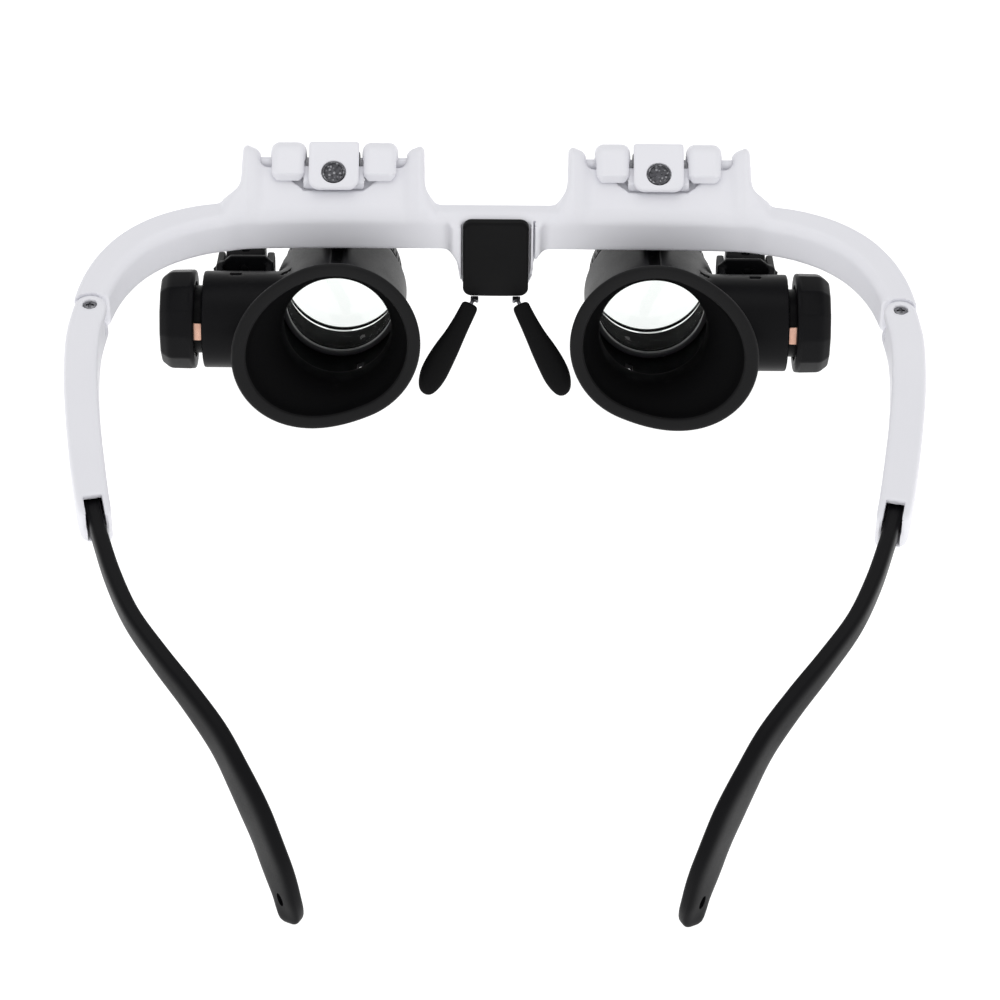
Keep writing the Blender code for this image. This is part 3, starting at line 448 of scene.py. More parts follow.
@dataclass(frozen=True)
class Finish:
    """A moulded or metal finish: its colour, how it scatters light, and the grain its making left."""

    name: str
    colour: str
    second_colour: str
    roughness: Pair
    grain: float = 0.35
    grain_height: float = 0.006
    cloud: float = 14.0
    metallic: float = 0.0
    ior: float | None = 1.53
    specular: float = 0.5
    coat: float = 0.0
    sheen: float = 0.0
    fleck: str | None = None
    fleck_size: float = 0.6

    def make(self) -> bpy.types.Material:
        """Builds the material.

        Returns:
            The material with its nodes.
        """
        made = bpy.data.materials.new(self.name)
        made.use_nodes = True
        tree = made.node_tree
        shader = tree.nodes["Principled BSDF"]
        place = add_node(tree, "ShaderNodeTexCoord").outputs["Object"]
        cloud = add_node(tree, "ShaderNodeTexNoise", None, {
            "Vector": place, "Scale": 1 / (self.cloud * MM), "Detail": 3.0, "Roughness": 0.55,
        })
        grain = add_node(tree, "ShaderNodeTexNoise", None, {
            "Vector": place, "Scale": 1 / (self.grain * MM), "Detail": 2.0, "Roughness": 0.6,
        })
        colour = add_node(tree, "ShaderNodeMix", {"data_type": "RGBA"}, {
            0: cloud.outputs["Fac"], 6: linear(self.colour), 7: linear(self.second_colour),
        }).outputs[2]
        if self.fleck:
            cells = add_node(tree, "ShaderNodeTexVoronoi", None, {
                "Vector": place, "Scale": 1 / (self.fleck_size * MM), "Randomness": 0.9,
            })
            spot = add_node(tree, "ShaderNodeMapRange", None, {
                "Value": cells.outputs["Distance"], "From Min": 0.28, "From Max": 0.42, "To Min": 1.0, "To Max": 0.0,
            })
            colour = add_node(tree, "ShaderNodeMix", {"data_type": "RGBA"}, {
                0: spot.outputs["Result"], 6: colour, 7: linear(self.fleck),
            }).outputs[2]
        wear = add_node(tree, "ShaderNodeMath", {"operation": "MULTIPLY"}, {
            0: cloud.outputs["Fac"], 1: grain.outputs["Fac"],
        })
        rough = add_node(tree, "ShaderNodeMapRange", None, {
            "Value": wear.outputs["Value"], "From Min": 0.1, "From Max": 0.45,
            "To Min": self.roughness[0], "To Max": self.roughness[1],
        })
        bump = add_node(tree, "ShaderNodeBump", None, {
            "Height": grain.outputs["Fac"], "Strength": 0.5, "Distance": self.grain_height * MM,
        })
        tree.links.new(colour, shader.inputs["Base Color"])
        tree.links.new(rough.outputs["Result"], shader.inputs["Roughness"])
        tree.links.new(bump.outputs["Normal"], shader.inputs["Normal"])
        shader.inputs["Metallic"].default_value = self.metallic
        if self.ior:
            shader.inputs["IOR"].default_value = self.ior
        shader.inputs["Specular IOR Level"].default_value = self.specular
        shader.inputs["Coat Weight"].default_value = self.coat
        shader.inputs["Sheen Weight"].default_value = self.sheen
        return made


@dataclass(frozen=True)
class ClearFinish:
    """Polished glass or clear resin, with faint wiping marks in its roughness."""

    name: str
    colour: str
    ior: float
    roughness: Pair
    mark: float = 3.0

    def make(self) -> bpy.types.Material:
        """Builds the material."""
        made = bpy.data.materials.new(self.name)
        made.use_nodes = True
        tree = made.node_tree
        shader = tree.nodes["Principled BSDF"]
        place = add_node(tree, "ShaderNodeTexCoord").outputs["Object"]
        marks = add_node(tree, "ShaderNodeTexNoise", None, {
            "Vector": place, "Scale": 1 / (self.mark * MM), "Detail": 4.0,
        })
        rough = add_node(tree, "ShaderNodeMapRange", None, {
            "Value": marks.outputs["Fac"], "From Min": 0.45, "From Max": 0.75,
            "To Min": self.roughness[0], "To Max": self.roughness[1],
        })
        tree.links.new(rough.outputs["Result"], shader.inputs["Roughness"])
        shader.inputs["Base Color"].default_value = linear(self.colour)
        shader.inputs["Transmission Weight"].default_value = 1.0
        shader.inputs["IOR"].default_value = self.ior
        return made


@dataclass
class Finishes:
    """Every finish of the object, made once."""

    # Injection-moulded white ABS from a finely spark-eroded mould: cool satin white, broad soft highlights.
    white: bpy.types.Material = field(default_factory=Finish(
        "satin_white_moulded_abs", "#E9E9EE", "#E4E4EA", (0.36, 0.46), 0.40, 0.004, 18.0).make)
    # Injection-moulded black ABS: neutral black with a satin sheen that picks up the softboxes.
    black: bpy.types.Material = field(default_factory=Finish(
        "satin_black_moulded_abs", "#0B0B0D", "#101012", (0.34, 0.46), 0.35, 0.005, 9.0, specular=0.08).make)
    # Turned and black-anodised metal of the rear lens rings: smooth, and greyer than the mouldings.
    anodised: bpy.types.Material = field(default_factory=Finish(
        "black_anodised_ring", "#2A2A2D", "#323235", (0.34, 0.48), 0.8, 0.003, 6.0, specular=0.30).make)
    # Painted shade: a darker, duller copy of the black plastic and of the cup rubber, laid on the inner walls of the
    # barrels, front holders and eyecups where shade falls inside them.
    inner_shade: bpy.types.Material = field(default_factory=Finish(
        "painted_shade_inner_wall", "#070708", "#0A0A0B", (0.66, 0.80), 0.5, 0.004, 8.0, specular=0.06).make)
    # Compression-moulded black rubber: matte, slightly greyed, with a fine skin.
    rubber: bpy.types.Material = field(default_factory=Finish(
        "matte_black_moulded_rubber", "#0B0B0C", "#0F0F10", (0.50, 0.66), 0.30, 0.008, 8.0, specular=0.08,
        sheen=0.02).make)
    # The eyecups' softer rubber: a little greyer than the nose rubber, in random cloudy patches.
    cup_rubber: bpy.types.Material = field(default_factory=Finish(
        "matte_black_cup_rubber", "#121213", "#171718", (0.50, 0.64), 0.30, 0.008, 8.0, specular=0.12,
        sheen=0.03).make)
    # Nickel-plated steel of small screws and rings: grey metal with a dulled polish.
    steel: bpy.types.Material = field(default_factory=Finish(
        "nickel_plated_steel", "#8E8E92", "#6F6F74", (0.24, 0.42), 0.25, 0.006, 1.2, 1.0, None).make)
    # Black-oxide steel with worn bright spots, of the clamp screws.
    dark_steel: bpy.types.Material = field(default_factory=Finish(
        "black_oxide_steel", "#66666A", "#3E3E42", (0.36, 0.55), 0.30, 0.02, 0.9, 1.0, None,
        fleck="#98989C", fleck_size=0.75).make)
    # Rolled phosphor bronze of the switch contact: pink and bright.
    bronze: bpy.types.Material = field(default_factory=Finish(
        "rolled_phosphor_bronze", "#E3B9A6", "#D9A892", (0.24, 0.38), 0.20, 0.004, 1.5, 0.85, None).make)
    # Nickel-plated cell cans: bright, faintly brushed.
    can: bpy.types.Material = field(default_factory=Finish(
        "nickel_plated_cell_can", "#D8D8D4", "#C9C9C4", (0.16, 0.30), 0.30, 0.004, 2.0, 1.0, None).make)
    # Polished crown glass: clear, with a trace of green in its depth.
    glass: bpy.types.Material = field(default_factory=ClearFinish(
        "polished_crown_glass", "#FBFDFC", 1.52, (0.0, 0.02)).make)
    # Cast clear epoxy of the lamps.
    epoxy: bpy.types.Material = field(default_factory=ClearFinish(
        "cast_clear_epoxy", "#F6F4E8", 1.50, (0.03, 0.08)).make)
    # Yellow phosphor on the lamps' dies.
    phosphor: bpy.types.Material = field(default_factory=Finish(
        "yellow_phosphor", "#E8D36A", "#D8BF50", (0.5, 0.7), 0.2, 0.004, 0.8).make)


# --------------------------------------------------------------------------------------------------------------
# Making and placing pieces
# --------------------------------------------------------------------------------------------------------------


@dataclass
class Maker:
    """Knows where things are from the record, and turns shapes into pieces that ride on their bodies."""

    finishes: Finishes
    joints: dict[str, dict[str, Any]] = field(default_factory=lambda: {j["name"]: j for j in behaviour()["joints"]})

    def design(self) -> Matrix:
        """The design frame: its datum lies 91 mm behind the middle of the bar's flat top."""
        top = next(m for m in frame["record"]["mounts"] if m["name"] == "bridge_top")
        return Matrix.Translation(Vector(top["pos_m"]) - Vector((0, 91 * MM, 0))) @ Matrix.Scale(MM, 4)

    def loupe(self) -> Matrix:
        """The right loupe's frame, from the joint that its eyecup turns on."""
        joint = self.joints["eyecup_turn_right"]
        forward = Vector(joint["axis"]).normalized()
        outward = Vector((1, 0, 0))
        down = forward.cross(outward)
        turned = Matrix((outward, down, forward)).transposed().to_4x4()
        return Matrix.Translation(joint["pos_m"]) @ turned @ Matrix.Scale(MM, 4)

    def tube(self, down: float, station: float) -> Matrix:
        """The frame of the right battery tube, whose axis points outward."""
        return self.loupe() @ Matrix.Translation((0, down, station)) @ Matrix.Rotation(math.pi / 2, 4, "Y")

    def piece(self, name: str, shape: Shape, finishes: Sequence[bpy.types.Material], body: str, slot: str,
              nodes: Iterable[str] = ()) -> bpy.types.Object:
        """Makes an object of a shape that is already in world metres.

        Args:
            name: The piece's name.
            shape: The shape.
            finishes: Its materials, the first for every face that isn't marked.
            body: The CAD body it rides on.
            slot: The record's material slot; not used.
            nodes: The CAD nodes it stands for.

        Returns:
            The new object.
        """
        mesh = bpy.data.meshes.new(name)
        mesh.from_pydata(shape.points.tolist(), [], shape.faces)
        mesh.shade_smooth()
        mesh.set_sharp_from_angle(angle=SMOOTH_ANGLE)
        for finish in finishes:
            mesh.materials.append(finish)
        if shape.marks is not None:
            mesh.polygons.foreach_set("material_index", shape.marks.astype(np.int32))
        mesh.update()
        made = bpy.data.objects.new(name, mesh)
        bpy.context.scene.collection.objects.link(made)
        return self.enrol(made, body, nodes)

    def enrol(self, made: bpy.types.Object, body: str, nodes: Iterable[str] = ()) -> bpy.types.Object:
        """Puts an object on its body and the nodes it stands for, and reports it."""
        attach(made, body)
        if nodes:
            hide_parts(*nodes)
        log.info("%s: %d faces on %s", made.name, len(made.data.polygons), body)
        return made

    def both(self, name: str, shape: Shape, finishes: Sequence[bpy.types.Material], body: str, slot: str,
             nodes: Iterable[str] = ()) -> list[bpy.types.Object]:
        """Makes the right side's piece and its mirror image.

        Args:
            name: The name without its side.
            shape: The right side's shape in world metres.
            finishes: Its materials.
            body: The body's name without its side.
            slot: The record's material slot.
            nodes: The nodes' names without their side.

        Returns:
            The left and the right piece.
        """
        made = []
        for side, one in ((Side.LEFT, shape.mirrored()), (Side.RIGHT, shape)):
            named = [f"{node}_{side.label}" for node in nodes]
            made.append(self.piece(f"{name}_{side.label}", one, finishes, f"{body}_{side.label}", slot, named))
        return made


def behaviour() -> dict[str, Any]:
    """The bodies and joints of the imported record."""
    return frame["record"]["behaviour"]


@dataclass
class SizedTree:
    """A Geometry Nodes tree with named sizes."""

    name: str
    tree: bpy.types.NodeTree = field(init=False)
    given: bpy.types.Node = field(init=False)

    def __post_init__(self) -> None:
        """Makes the empty tree with its one output."""
        self.tree = bpy.data.node_groups.new(self.name, "GeometryNodeTree")
        self.tree.interface.new_socket(name="Geometry", in_out="OUTPUT", socket_type="NodeSocketGeometry")

    def sizes(self, **kinds: str) -> None:
        """Adds the named inputs, each with the last word of its socket type."""
        for name, kind in kinds.items():
            self.tree.interface.new_socket(name=name, in_out="INPUT", socket_type=f"NodeSocket{kind}")
        self.given = add_node(self.tree, "NodeGroupInput")

    def finish(self, geometry: bpy.types.NodeSocket) -> None:
        """Ends the tree: the instances are made real and take their material."""
        real = add_node(self.tree, "GeometryNodeRealizeInstances", None, {"Geometry": geometry})
        smooth = add_node(self.tree, "GeometryNodeSetShadeSmooth", None, {"Geometry": real.outputs[0]})
        dressed = add_node(self.tree, "GeometryNodeSetMaterial", None, {
            "Geometry": smooth.outputs[0], "Material": self.given.outputs["material"],
        })
        add_node(self.tree, "NodeGroupOutput", None, {"Geometry": dressed.outputs[0]})

    def grow(self, values: dict[str, Any]) -> Shape:
        """Evaluates the tree with its inputs set.

        Args:
            values: A value for each named input.

        Returns:
            The grown mesh as a shape.
        """
        holder = bpy.data.objects.new(self.name, bpy.data.meshes.new(self.name))
        bpy.context.scene.collection.objects.link(holder)
        modifier = holder.modifiers.new(self.name, "NODES")
        modifier.node_group = self.tree
        for item in self.tree.interface.items_tree:
            if item.in_out == "INPUT" and item.name in values:
                modifier[item.identifier] = values[item.name]
        graph = bpy.context.evaluated_depsgraph_get()
        mesh = bpy.data.meshes.new_from_object(holder.evaluated_get(graph))
        points = np.array([vertex.co for vertex in mesh.vertices], float)
        faces = [list(polygon.vertices) for polygon in mesh.polygons]
        holder.modifiers.clear()
        bpy.data.objects.remove(holder)
        bpy.data.meshes.remove(mesh)
        return Shape(points, faces)


def pip_ring_tree() -> SizedTree:
    """A ring of rounded pips about the z axis, each with its own radial, sideways and axial size."""
    made = SizedTree("pip_ring")
    made.sizes(count="Int", radius="Float", height="Float", pip="Vector", turn="Float", material="Material")
    tree, given = made.tree, made.given
    circle = add_node(tree, "GeometryNodeMeshCircle", None, {
        "Vertices": given.outputs["count"], "Radius": given.outputs["radius"],
    })
    ball = add_node(tree, "GeometryNodeMeshUVSphere", None, {"Segments": 12, "Rings": 8, "Radius": 1.0})
    place = add_node(tree, "GeometryNodeInputPosition")
    facing = add_node(tree, "FunctionNodeAlignRotationToVector", {"axis": "X"}, {"Vector": place.outputs[0]})
    pips = add_node(tree, "GeometryNodeInstanceOnPoints", None, {
        "Points": circle.outputs[0], "Instance": ball.outputs[0], "Rotation": facing.outputs[0],
        "Scale": given.outputs["pip"],
    })
    lift = add_node(tree, "ShaderNodeCombineXYZ", None, {"Z": given.outputs["height"]})
    spin = add_node(tree, "ShaderNodeCombineXYZ", None, {"Z": given.outputs["turn"]})
    set_up = add_node(tree, "GeometryNodeTransform", None, {
        "Geometry": pips.outputs[0], "Translation": lift.outputs[0], "Rotation": spin.outputs[0],
    })
    made.finish(set_up.outputs[0])
    return made


def coil_tree() -> SizedTree:
    """A conical coil of round wire about the z axis."""
    made = SizedTree("wire_coil")
    made.sizes(turns="Float", first="Float", last="Float", rise="Float", wire="Float", material="Material")
    tree, given = made.tree, made.given
    path = add_node(tree, "GeometryNodeCurveSpiral", None, {
        "Resolution": 32, "Rotations": given.outputs["turns"], "Start Radius": given.outputs["first"],
        "End Radius": given.outputs["last"], "Height": given.outputs["rise"],
    })
    section = add_node(tree, "GeometryNodeCurvePrimitiveCircle", None, {
        "Resolution": 10, "Radius": given.outputs["wire"],
    })
    wire = add_node(tree, "GeometryNodeCurveToMesh", None, {
        "Curve": path.outputs[0], "Profile Curve": section.outputs[0], "Fill Caps": True,
    })
    made.finish(wire.outputs[0])
    return made


def bent_wire_tree() -> SizedTree:
    """A round wire bent through one soft corner."""
    made = SizedTree("bent_wire")
    made.sizes(start="Vector", corner="Vector", end="Vector", wire="Float", material="Material")
    tree, given = made.tree, made.given
    path = add_node(tree, "GeometryNodeCurveQuadraticBezier", None, {
        "Resolution": 16, "Start": given.outputs["start"], "Middle": given.outputs["corner"],
        "End": given.outputs["end"],
    })
    section = add_node(tree, "GeometryNodeCurvePrimitiveCircle", None, {
        "Resolution": 14, "Radius": given.outputs["wire"],
    })
    wire = add_node(tree, "GeometryNodeCurveToMesh", None, {
        "Curve": path.outputs[0], "Profile Curve": section.outputs[0], "Fill Caps": True,
    })
    made.finish(wire.outputs[0])
    return made


# --------------------------------------------------------------------------------------------------------------
# White frame and temples
# --------------------------------------------------------------------------------------------------------------


@dataclass
class Slope:
    """The slope of the housings, which rises forward from the bar's rear edge."""

    angle: float = math.radians(27)
    foot: float = 88.4

    def height(self, y: Values | float, rise: float = 0.0) -> Any:
        """The height of the slope at y, or of a plane that lies a rise above it."""
        return (y - self.foot) * math.tan(self.angle) + rise / math.cos(self.angle)

    def above(self, y: Values, z: Values) -> Values:
        """How far points lie above the slope, square to it."""
        return (z - self.height(y)) * math.cos(self.angle)

    def up_along(self, y: Values, z: Values, start: float) -> Values:
        """How far points lie up the slope from its place at y = start."""
        return (y - start) * math.cos(self.angle) + (z - self.height(start)) * math.sin(self.angle)


@dataclass
class Rod:
    """The rod that the carriage slides on and the loupe hangs from."""

    y: float = 101.5
    z: float = 4.0
    radius: float = 1.4
    bore: float = 1.7


@dataclass
class FrontFrame:
    """The white brow bar with two sloped housings, the nose tab and the hinge tongues."""

    maker: Maker
    slope: Slope = field(default_factory=Slope)
    rod: Rod = field(default_factory=Rod)
    height: float = 8.8
    top_edge: float = 1.1
    bottom_edge: float = 1.1
    line: tuple[tuple[float, float, float], ...] = (
        (0, 91, 5.2), (30, 91, 5.2), (50, 90.9, 5.8), (56.5, 90.4, 6.6), (63.1, 88.9, 7.1), (69.8, 85.6, 7.4),
        (75.1, 80.9, 7.4), (78.8, 75.3, 7.2), (81.2, 69.3, 7.0), (82.6, 63.0, 6.8), (82.9, 59.0, 6.8))
    hinge: Pair = (82.75, 59.0)
    lug: float = 3.35
    housing: Pair = (15.2, 53.6)
    ear: float = 3.8
    ear_drop: float = 0.25
    ear_slant: float = 0.42
    recess_reach: float = 8.9
    recess_start: float = 93.9
    recess_depth: float = 1.4
    front: float = 96.9
    brow: float = 98.9
    carriage_x: float = 34.2
    step: float = 0.42

    def bar(self, x: Values, y: Values, z: Values) -> tuple[Values, Values]:
        """The bar's rear limit, and everything of it that lies under its top and behind its front."""
        side, half = along_line(x, y, smooth_line(self.line, 5))
        return side - half, meet(-side - half, z + 0.0 * x, self.top_edge)

    def wedge(self, x: Values, y: Values, z: Values) -> Values:
        """The sloped wedge between the ears, without a rear limit."""
        underside = ((y - self.front) * 3 - (z - 1.5) * 2) / math.sqrt(13)
        face = np.maximum(y - self.brow, np.minimum(y - self.front, underside))
        knuckle_gap = np.maximum(np.abs(x - self.carriage_x) - 6.3, self.front - y)
        profile = carve(meet(self.slope.above(y, z), face, 0.4), knuckle_gap, 0.3)
        inner, outer = self.housing
        return meet(profile, between(x, inner + 1.0, outer - 1.0), 0.5)

    def ears(self, x: Values, y: Values, z: Values) -> Values:
        """The two rounded ridges that hold the rod and flare into the bar."""
        ridge = [(80.0, -9.0), (80.0, self.slope.height(80.0, -0.4)), (88.6, self.slope.height(88.6, 0.35)),
                 (91.0, self.slope.height(91.0, 1.1)), (93.5, self.slope.height(93.5, 1.3))]
        ridge += arc((self.rod.y, self.rod.z), 4.2, 117, -60, 18)
        ridge += [(self.front, -5.5), (92.0, -7.6)]
        profile = outline(y, z, ridge)
        flare = 3.6 * np.clip((97.6 - y) / 4.4, 0.0, 1.0) ** 2 * np.clip((5.0 - z) / 4.0, 0.3, 1.0)
        inner, outer = self.housing
        first = meet(profile + self.ear_drop + self.ear_slant * np.maximum(x - inner - 1.0, 0.0),
                     between(x, inner - flare * 0.5, inner + self.ear), 1.2)
        second = meet(profile + self.ear_drop + self.ear_slant * np.maximum(outer - 1.0 - x, 0.0),
                      between(x, outer - self.ear, outer + flare), 1.2)
        return np.minimum(first, second)

    def recess(self, x: Values, y: Values, z: Values) -> Values:
        """The shallow recess with angled corners that the carriage's web slides in."""
        reach = self.recess_reach
        run = self.slope.up_along(y, z, self.recess_start)
        plan = outline(x - self.carriage_x + 0.0 * run, run + 0.0 * x,
                       [(-6.2, 0.0), (6.2, 0.0), (reach, 2.4), (reach, 12.0), (-reach, 12.0), (-reach, 2.4)])
        return np.maximum(plan, between(self.slope.above(y, z), -self.recess_depth, 8.0))

    def nose_tab(self, x: Values, y: Values, z: Values) -> Values:
        """The white holder about the nose block, which narrows downward."""
        right = [(6.9, -17.7), (7.6, -15.6), (7.9, -13.0), (8.3, -10.8), (9.4, -8.4), (9.4, -1.4)]
        corners = [(-aside, height) for aside, height in reversed(right)] + right
        return meet(outline(x, z, corners), between(y, 86.9, 91.4), 0.6)

    def rule(self, x: Values, y: Values, z: Values) -> Values:
        """The distance to the frame's surface."""
        wide = np.abs(x)
        rear, bar = self.bar(wide, y, z)
        upper = fuse(bar, self.wedge(wide, y, z), 1.0)
        upper = fuse(upper, self.ears(wide, y, z), 2.2)
        body = meet(rear, upper, 2.2)
        under = np.maximum((-7.6 + (y - 92.0) * 0.43 - z) * 0.92, -z - self.height)
        housing_floor = np.where(y > 92.0, under, -z - self.height)
        body = meet(body, housing_floor, self.bottom_edge)
        body = fuse(body, self.nose_tab(x, y, z), 2.2)
        body = carve(body, block(x, y, z, (-7.3, 80.0, -24.0), (7.3, 88.3, 4.5), 0.5), 0.4)
        rib_line = np.maximum(between(x, 7.85, 8.2), np.maximum(between(z, -12.5, -0.9), y - 88.9))
        body = carve(body, rib_line, 0.15)
        body = carve(body, self.recess(wide, y, z), 0.4)
        bore = np.maximum(np.hypot(y - self.rod.y, z - self.rod.z) - self.rod.bore,
                          between(wide, self.housing[0] + 0.8, self.housing[1] - 0.8))
        body = carve(body, bore, 0.3)
        return self.hinge_end(body, wide, y, z)

    def hinge_end(self, body: Values, x: Values, y: Values, z: Values) -> Values:
        """The bar's end with its round seat for the temple's lug, and the tongue in the lug's slot."""
        away = np.hypot(x - self.hinge[0], y - self.hinge[1])
        body = meet(body, 61.7 - 0.25 * (x - self.hinge[0]) - y, 0.3)
        body = carve(body, away - self.lug - 0.14, 0.15)
        tongue = np.maximum(between(x, self.hinge[0] - 2.2, self.hinge[0] + 2.2), between(y, self.hinge[1], 64.0))
        tongue = np.maximum(np.minimum(tongue, away - 2.2), np.abs(z + self.height / 2) - 1.7)
        body = np.minimum(body, tongue)
        return np.maximum(body, 1.0 - away)

    def build(self) -> None:
        """Makes the frame and its rods."""
        shape = skin(self.rule, (-86.6, 56.6, -18.0), (86.6, 105.8, 8.6), self.step)
        place = self.maker.design()
        finishes = self.maker.finishes
        self.maker.piece("white_brow_frame", shape.placed(place), [finishes.white], "frame", "white_abs",
                         ["front_frame"])
        reach = (self.housing[1] - self.housing[0] - 2.2) / 2
        profile = eased([(0, reach, 0), (self.rod.radius, reach, 0.3), (self.rod.radius, -reach, 0.3), (0, -reach, 0)])
        middle = sum(self.housing) / 2
        lay = place @ Matrix.Translation((middle, self.rod.y, self.rod.z)) @ Matrix.Rotation(math.pi / 2, 4, "Y")
        rod = turn(profile, 48).placed(lay)
        for side, one in ((Side.LEFT, rod.mirrored()), (Side.RIGHT, rod)):
            self.maker.piece(f"white_rod_{side.label}", one, [finishes.white], "frame", "white_abs",
                             [f"hinge_rod_{side.label}"])


@dataclass
class Temple:
    """The right temple: a white arm with a fork, its hinge screw, and the black tip that telescopes in it."""

    maker: Maker
    hinge: Pair = (82.75, 59.0)
    lug: float = 3.35
    height: float = 8.8
    edge: float = 1.2
    line: tuple[tuple[float, float, float], ...] = (
        (82.75, 59.0, 6.8), (83.5, 50, 6.8), (82.9, 38, 6.8), (81.5, 26, 6.8), (79.7, 14, 6.8), (77.7, 2.5, 6.6),
        (76.9, -1.2, 6.4), (76.3, -4.2, 6.0))
    fork_root: float = 1.2
    slot: Pair = (3.6, 5.6)
    tongue_z: float = -4.4
    tip: tuple[tuple[float, ...], ...] = (
        (75.4, -7.0, -4.4, 3.2, 4.6), (72.1, -17.8, -4.5, 3.3, 4.8), (67.8, -28.3, -5.0, 3.3, 5.2),
        (62.0, -37.5, -6.3, 3.4, 5.8), (55.9, -44.9, -9.4, 3.4, 6.6), (50.5, -51.4, -13.3, 3.4, 7.8),
        (46.5, -57.1, -18.0, 3.4, 9.2), (43.0, -62.0, -23.5, 3.4, 10.2), (40.1, -66.2, -29.8, 3.3, 9.4),
        (37.9, -68.8, -37.2, 3.2, 6.6), (37.0, -69.5, -43.05, 3.0, 4.0))

    def fork(self, x: Values, y: Values) -> tuple[Values, Values]:
        """How far points lie forward of the fork's end, and to the side of its middle."""
        (x0, y0, _), (x1, y1, _) = self.line[-3], self.line[-1]
        length = math.hypot(x1 - x0, y1 - y0)
        dx, dy = (x0 - x1) / length, (y0 - y1) / length
        return (x - x1) * dx + (y - y1) * dy, (x - x1) * dy - (y - y1) * dx

    def arm(self, x: Values, y: Values, z: Values) -> Values:
        """The distance to the arm's surface."""
        side, half = along_line(x, y, smooth_line(self.line, 5))
        plan = meet(np.abs(side) - half, self.line[-1][1] - 0.2 - y + 0.0 * x, 1.8)
        middle = -self.height / 2
        tall = self.height / 2 - 0.006 * (self.hinge[1] - y)
        away = np.hypot(x - self.hinge[0], y - self.hinge[1])
        body = meet(np.minimum(np.maximum(plan, y - self.hinge[1]), away - self.lug), np.abs(z - middle) - tall,
                    self.edge)
        body = carve(body, np.maximum(away - self.lug - 0.6, np.abs(z - middle) - 2.05), 0.3)
        body = carve(body, np.maximum(away - 1.5, -1.1 - z), 0.2)
        body = np.maximum(body, 1.0 - away)
        run, aside = self.fork(x, y)
        width, tall = self.slot
        deep = np.maximum(np.maximum(np.abs(aside) - width / 2, run - 25.0), np.abs(z - self.tongue_z) - tall / 2)
        mouth_end = self.fork_root - self.line[-1][1]
        mouth = np.maximum(np.maximum(np.abs(aside) - width / 2, run - mouth_end), self.tongue_z - z)
        return carve(carve(body, deep, 0.3), mouth, 0.5)

    def tip_shape(self) -> Shape:
        """The tongue inside the arm and the blade that curves in and down behind it."""
        (x0, y0, _), (x1, y1, _) = self.line[-3], self.line[-1]
        length = math.hypot(x1 - x0, y1 - y0)
        path = []
        for step in range(8):
            back = 23.2 * (1 - step / 8)
            path.append((x1 - (x1 - x0) / length * back, y1 - (y1 - y0) / length * back, self.tongue_z, 3.2, 4.6))
        path += smooth_line(self.tip, 8)
        rings = []
        steps = 40
        for i, (x, y, z, thick, tall) in enumerate(path):
            ahead, behind = Vector(path[min(i + 1, len(path) - 1)][:3]), Vector(path[max(i - 1, 0)][:3])
            along = (ahead - behind).normalized()
            aside = along.cross(Vector((0, 0, 1))).normalized()
            up = aside.cross(along)
            ends = min(i, len(path) - 1 - i)
            close = (0.62, 0.86, 0.97)[ends] if ends < 3 else 1.0
            ring = []
            for k in range(steps):
                angle = math.tau * k / steps
                u, v = math.cos(angle), math.sin(angle)
                power = 2 / 3.6
                wide = math.copysign(abs(u) ** power, u) * thick / 2 * close
                high = math.copysign(abs(v) ** power, v) * tall / 2 * close
                ring.append(Vector((x, y, z)) + aside * wide + up * high)
            rings.append(ring)
        return loft(rings)

    def build(self) -> None:
        """Makes both temples' pieces."""
        maker, finishes = self.maker, self.maker.finishes
        place = maker.design()
        arm = skin(self.arm, (72.0, -5.6, -9.0), (87.2, 62.8, 0.2), 0.4)
        maker.both("white_temple", arm.placed(place), [finishes.white], "temple", "white_abs", ["temple_arm"])
        tips = maker.both("black_temple_tip", self.tip_shape().placed(place), [finishes.black], "tip", "black_abs",
                          ["temple_tip"])
        for tip, sign in zip(tips, (-1, 1)):
            self.pierce(tip, sign)
        screw = skin(self.screw, (-1.6, -1.6, -8.6), (1.6, 1.6, 0.2), 0.11)
        at = place @ Matrix.Translation((self.hinge[0], self.hinge[1], 0))
        maker.both("hinge_screw", screw.placed(at), [finishes.steel], "temple", "steel", ["temple_hinge_screw"])

    def screw(self, x: Values, y: Values, z: Values) -> Values:
        """A small domed screw with a cross recess."""
        away = np.hypot(x, y)
        dome = -0.2 - 0.12 * away**2
        head = meet(away - 1.3, np.maximum(z - dome, -0.95 - z), 0.12)
        shank = np.maximum(away - 0.8, between(z, -8.4, -0.5))
        slot_half, slot_reach = 0.24, 0.85
        cross = np.minimum(np.maximum(np.abs(x) - slot_half, np.abs(y) - slot_reach),
                           np.maximum(np.abs(y) - slot_half, np.abs(x) - slot_reach))
        return carve(np.minimum(head, shank), np.maximum(cross, -0.75 - z), 0.08)

    def pierce(self, tip: bpy.types.Object, sign: int) -> None:
        """Cuts the small lanyard slot through a tip's end."""
        path = [Vector(point[:3]) for point in self.tip]
        along = (path[-1] - path[-3]).normalized()
        middle = path[-2] - along * 0.2
        rings = []
        across = along.cross(Vector((0, 0, 1))).normalized()
        up = across.cross(along)
        for reach in (-3.0, 3.0):
            rings.append([middle + across * reach + along * (1.5 * math.cos(a)) + up * (0.75 * math.sin(a))
                          for a in (math.tau * i / 20 for i in range(20))])
        shape = loft(rings).placed(self.maker.design())
        if sign < 0:
            shape = shape.mirrored()
        mesh = bpy.data.meshes.new("slot_cutter")
        mesh.from_pydata(shape.points.tolist(), [], shape.faces)
        cutter = bpy.data.objects.new("slot_cutter", mesh)
        bpy.context.scene.collection.objects.link(cutter)
        modifier = tip.modifiers.new("slot", "BOOLEAN")
        modifier.object = cutter
        modifier.solver = "EXACT"
        graph = bpy.context.evaluated_depsgraph_get()
        cut = bpy.data.meshes.new_from_object(tip.evaluated_get(graph))
        tip.modifiers.clear()
        tip.data = cut
        bpy.data.objects.remove(cutter)


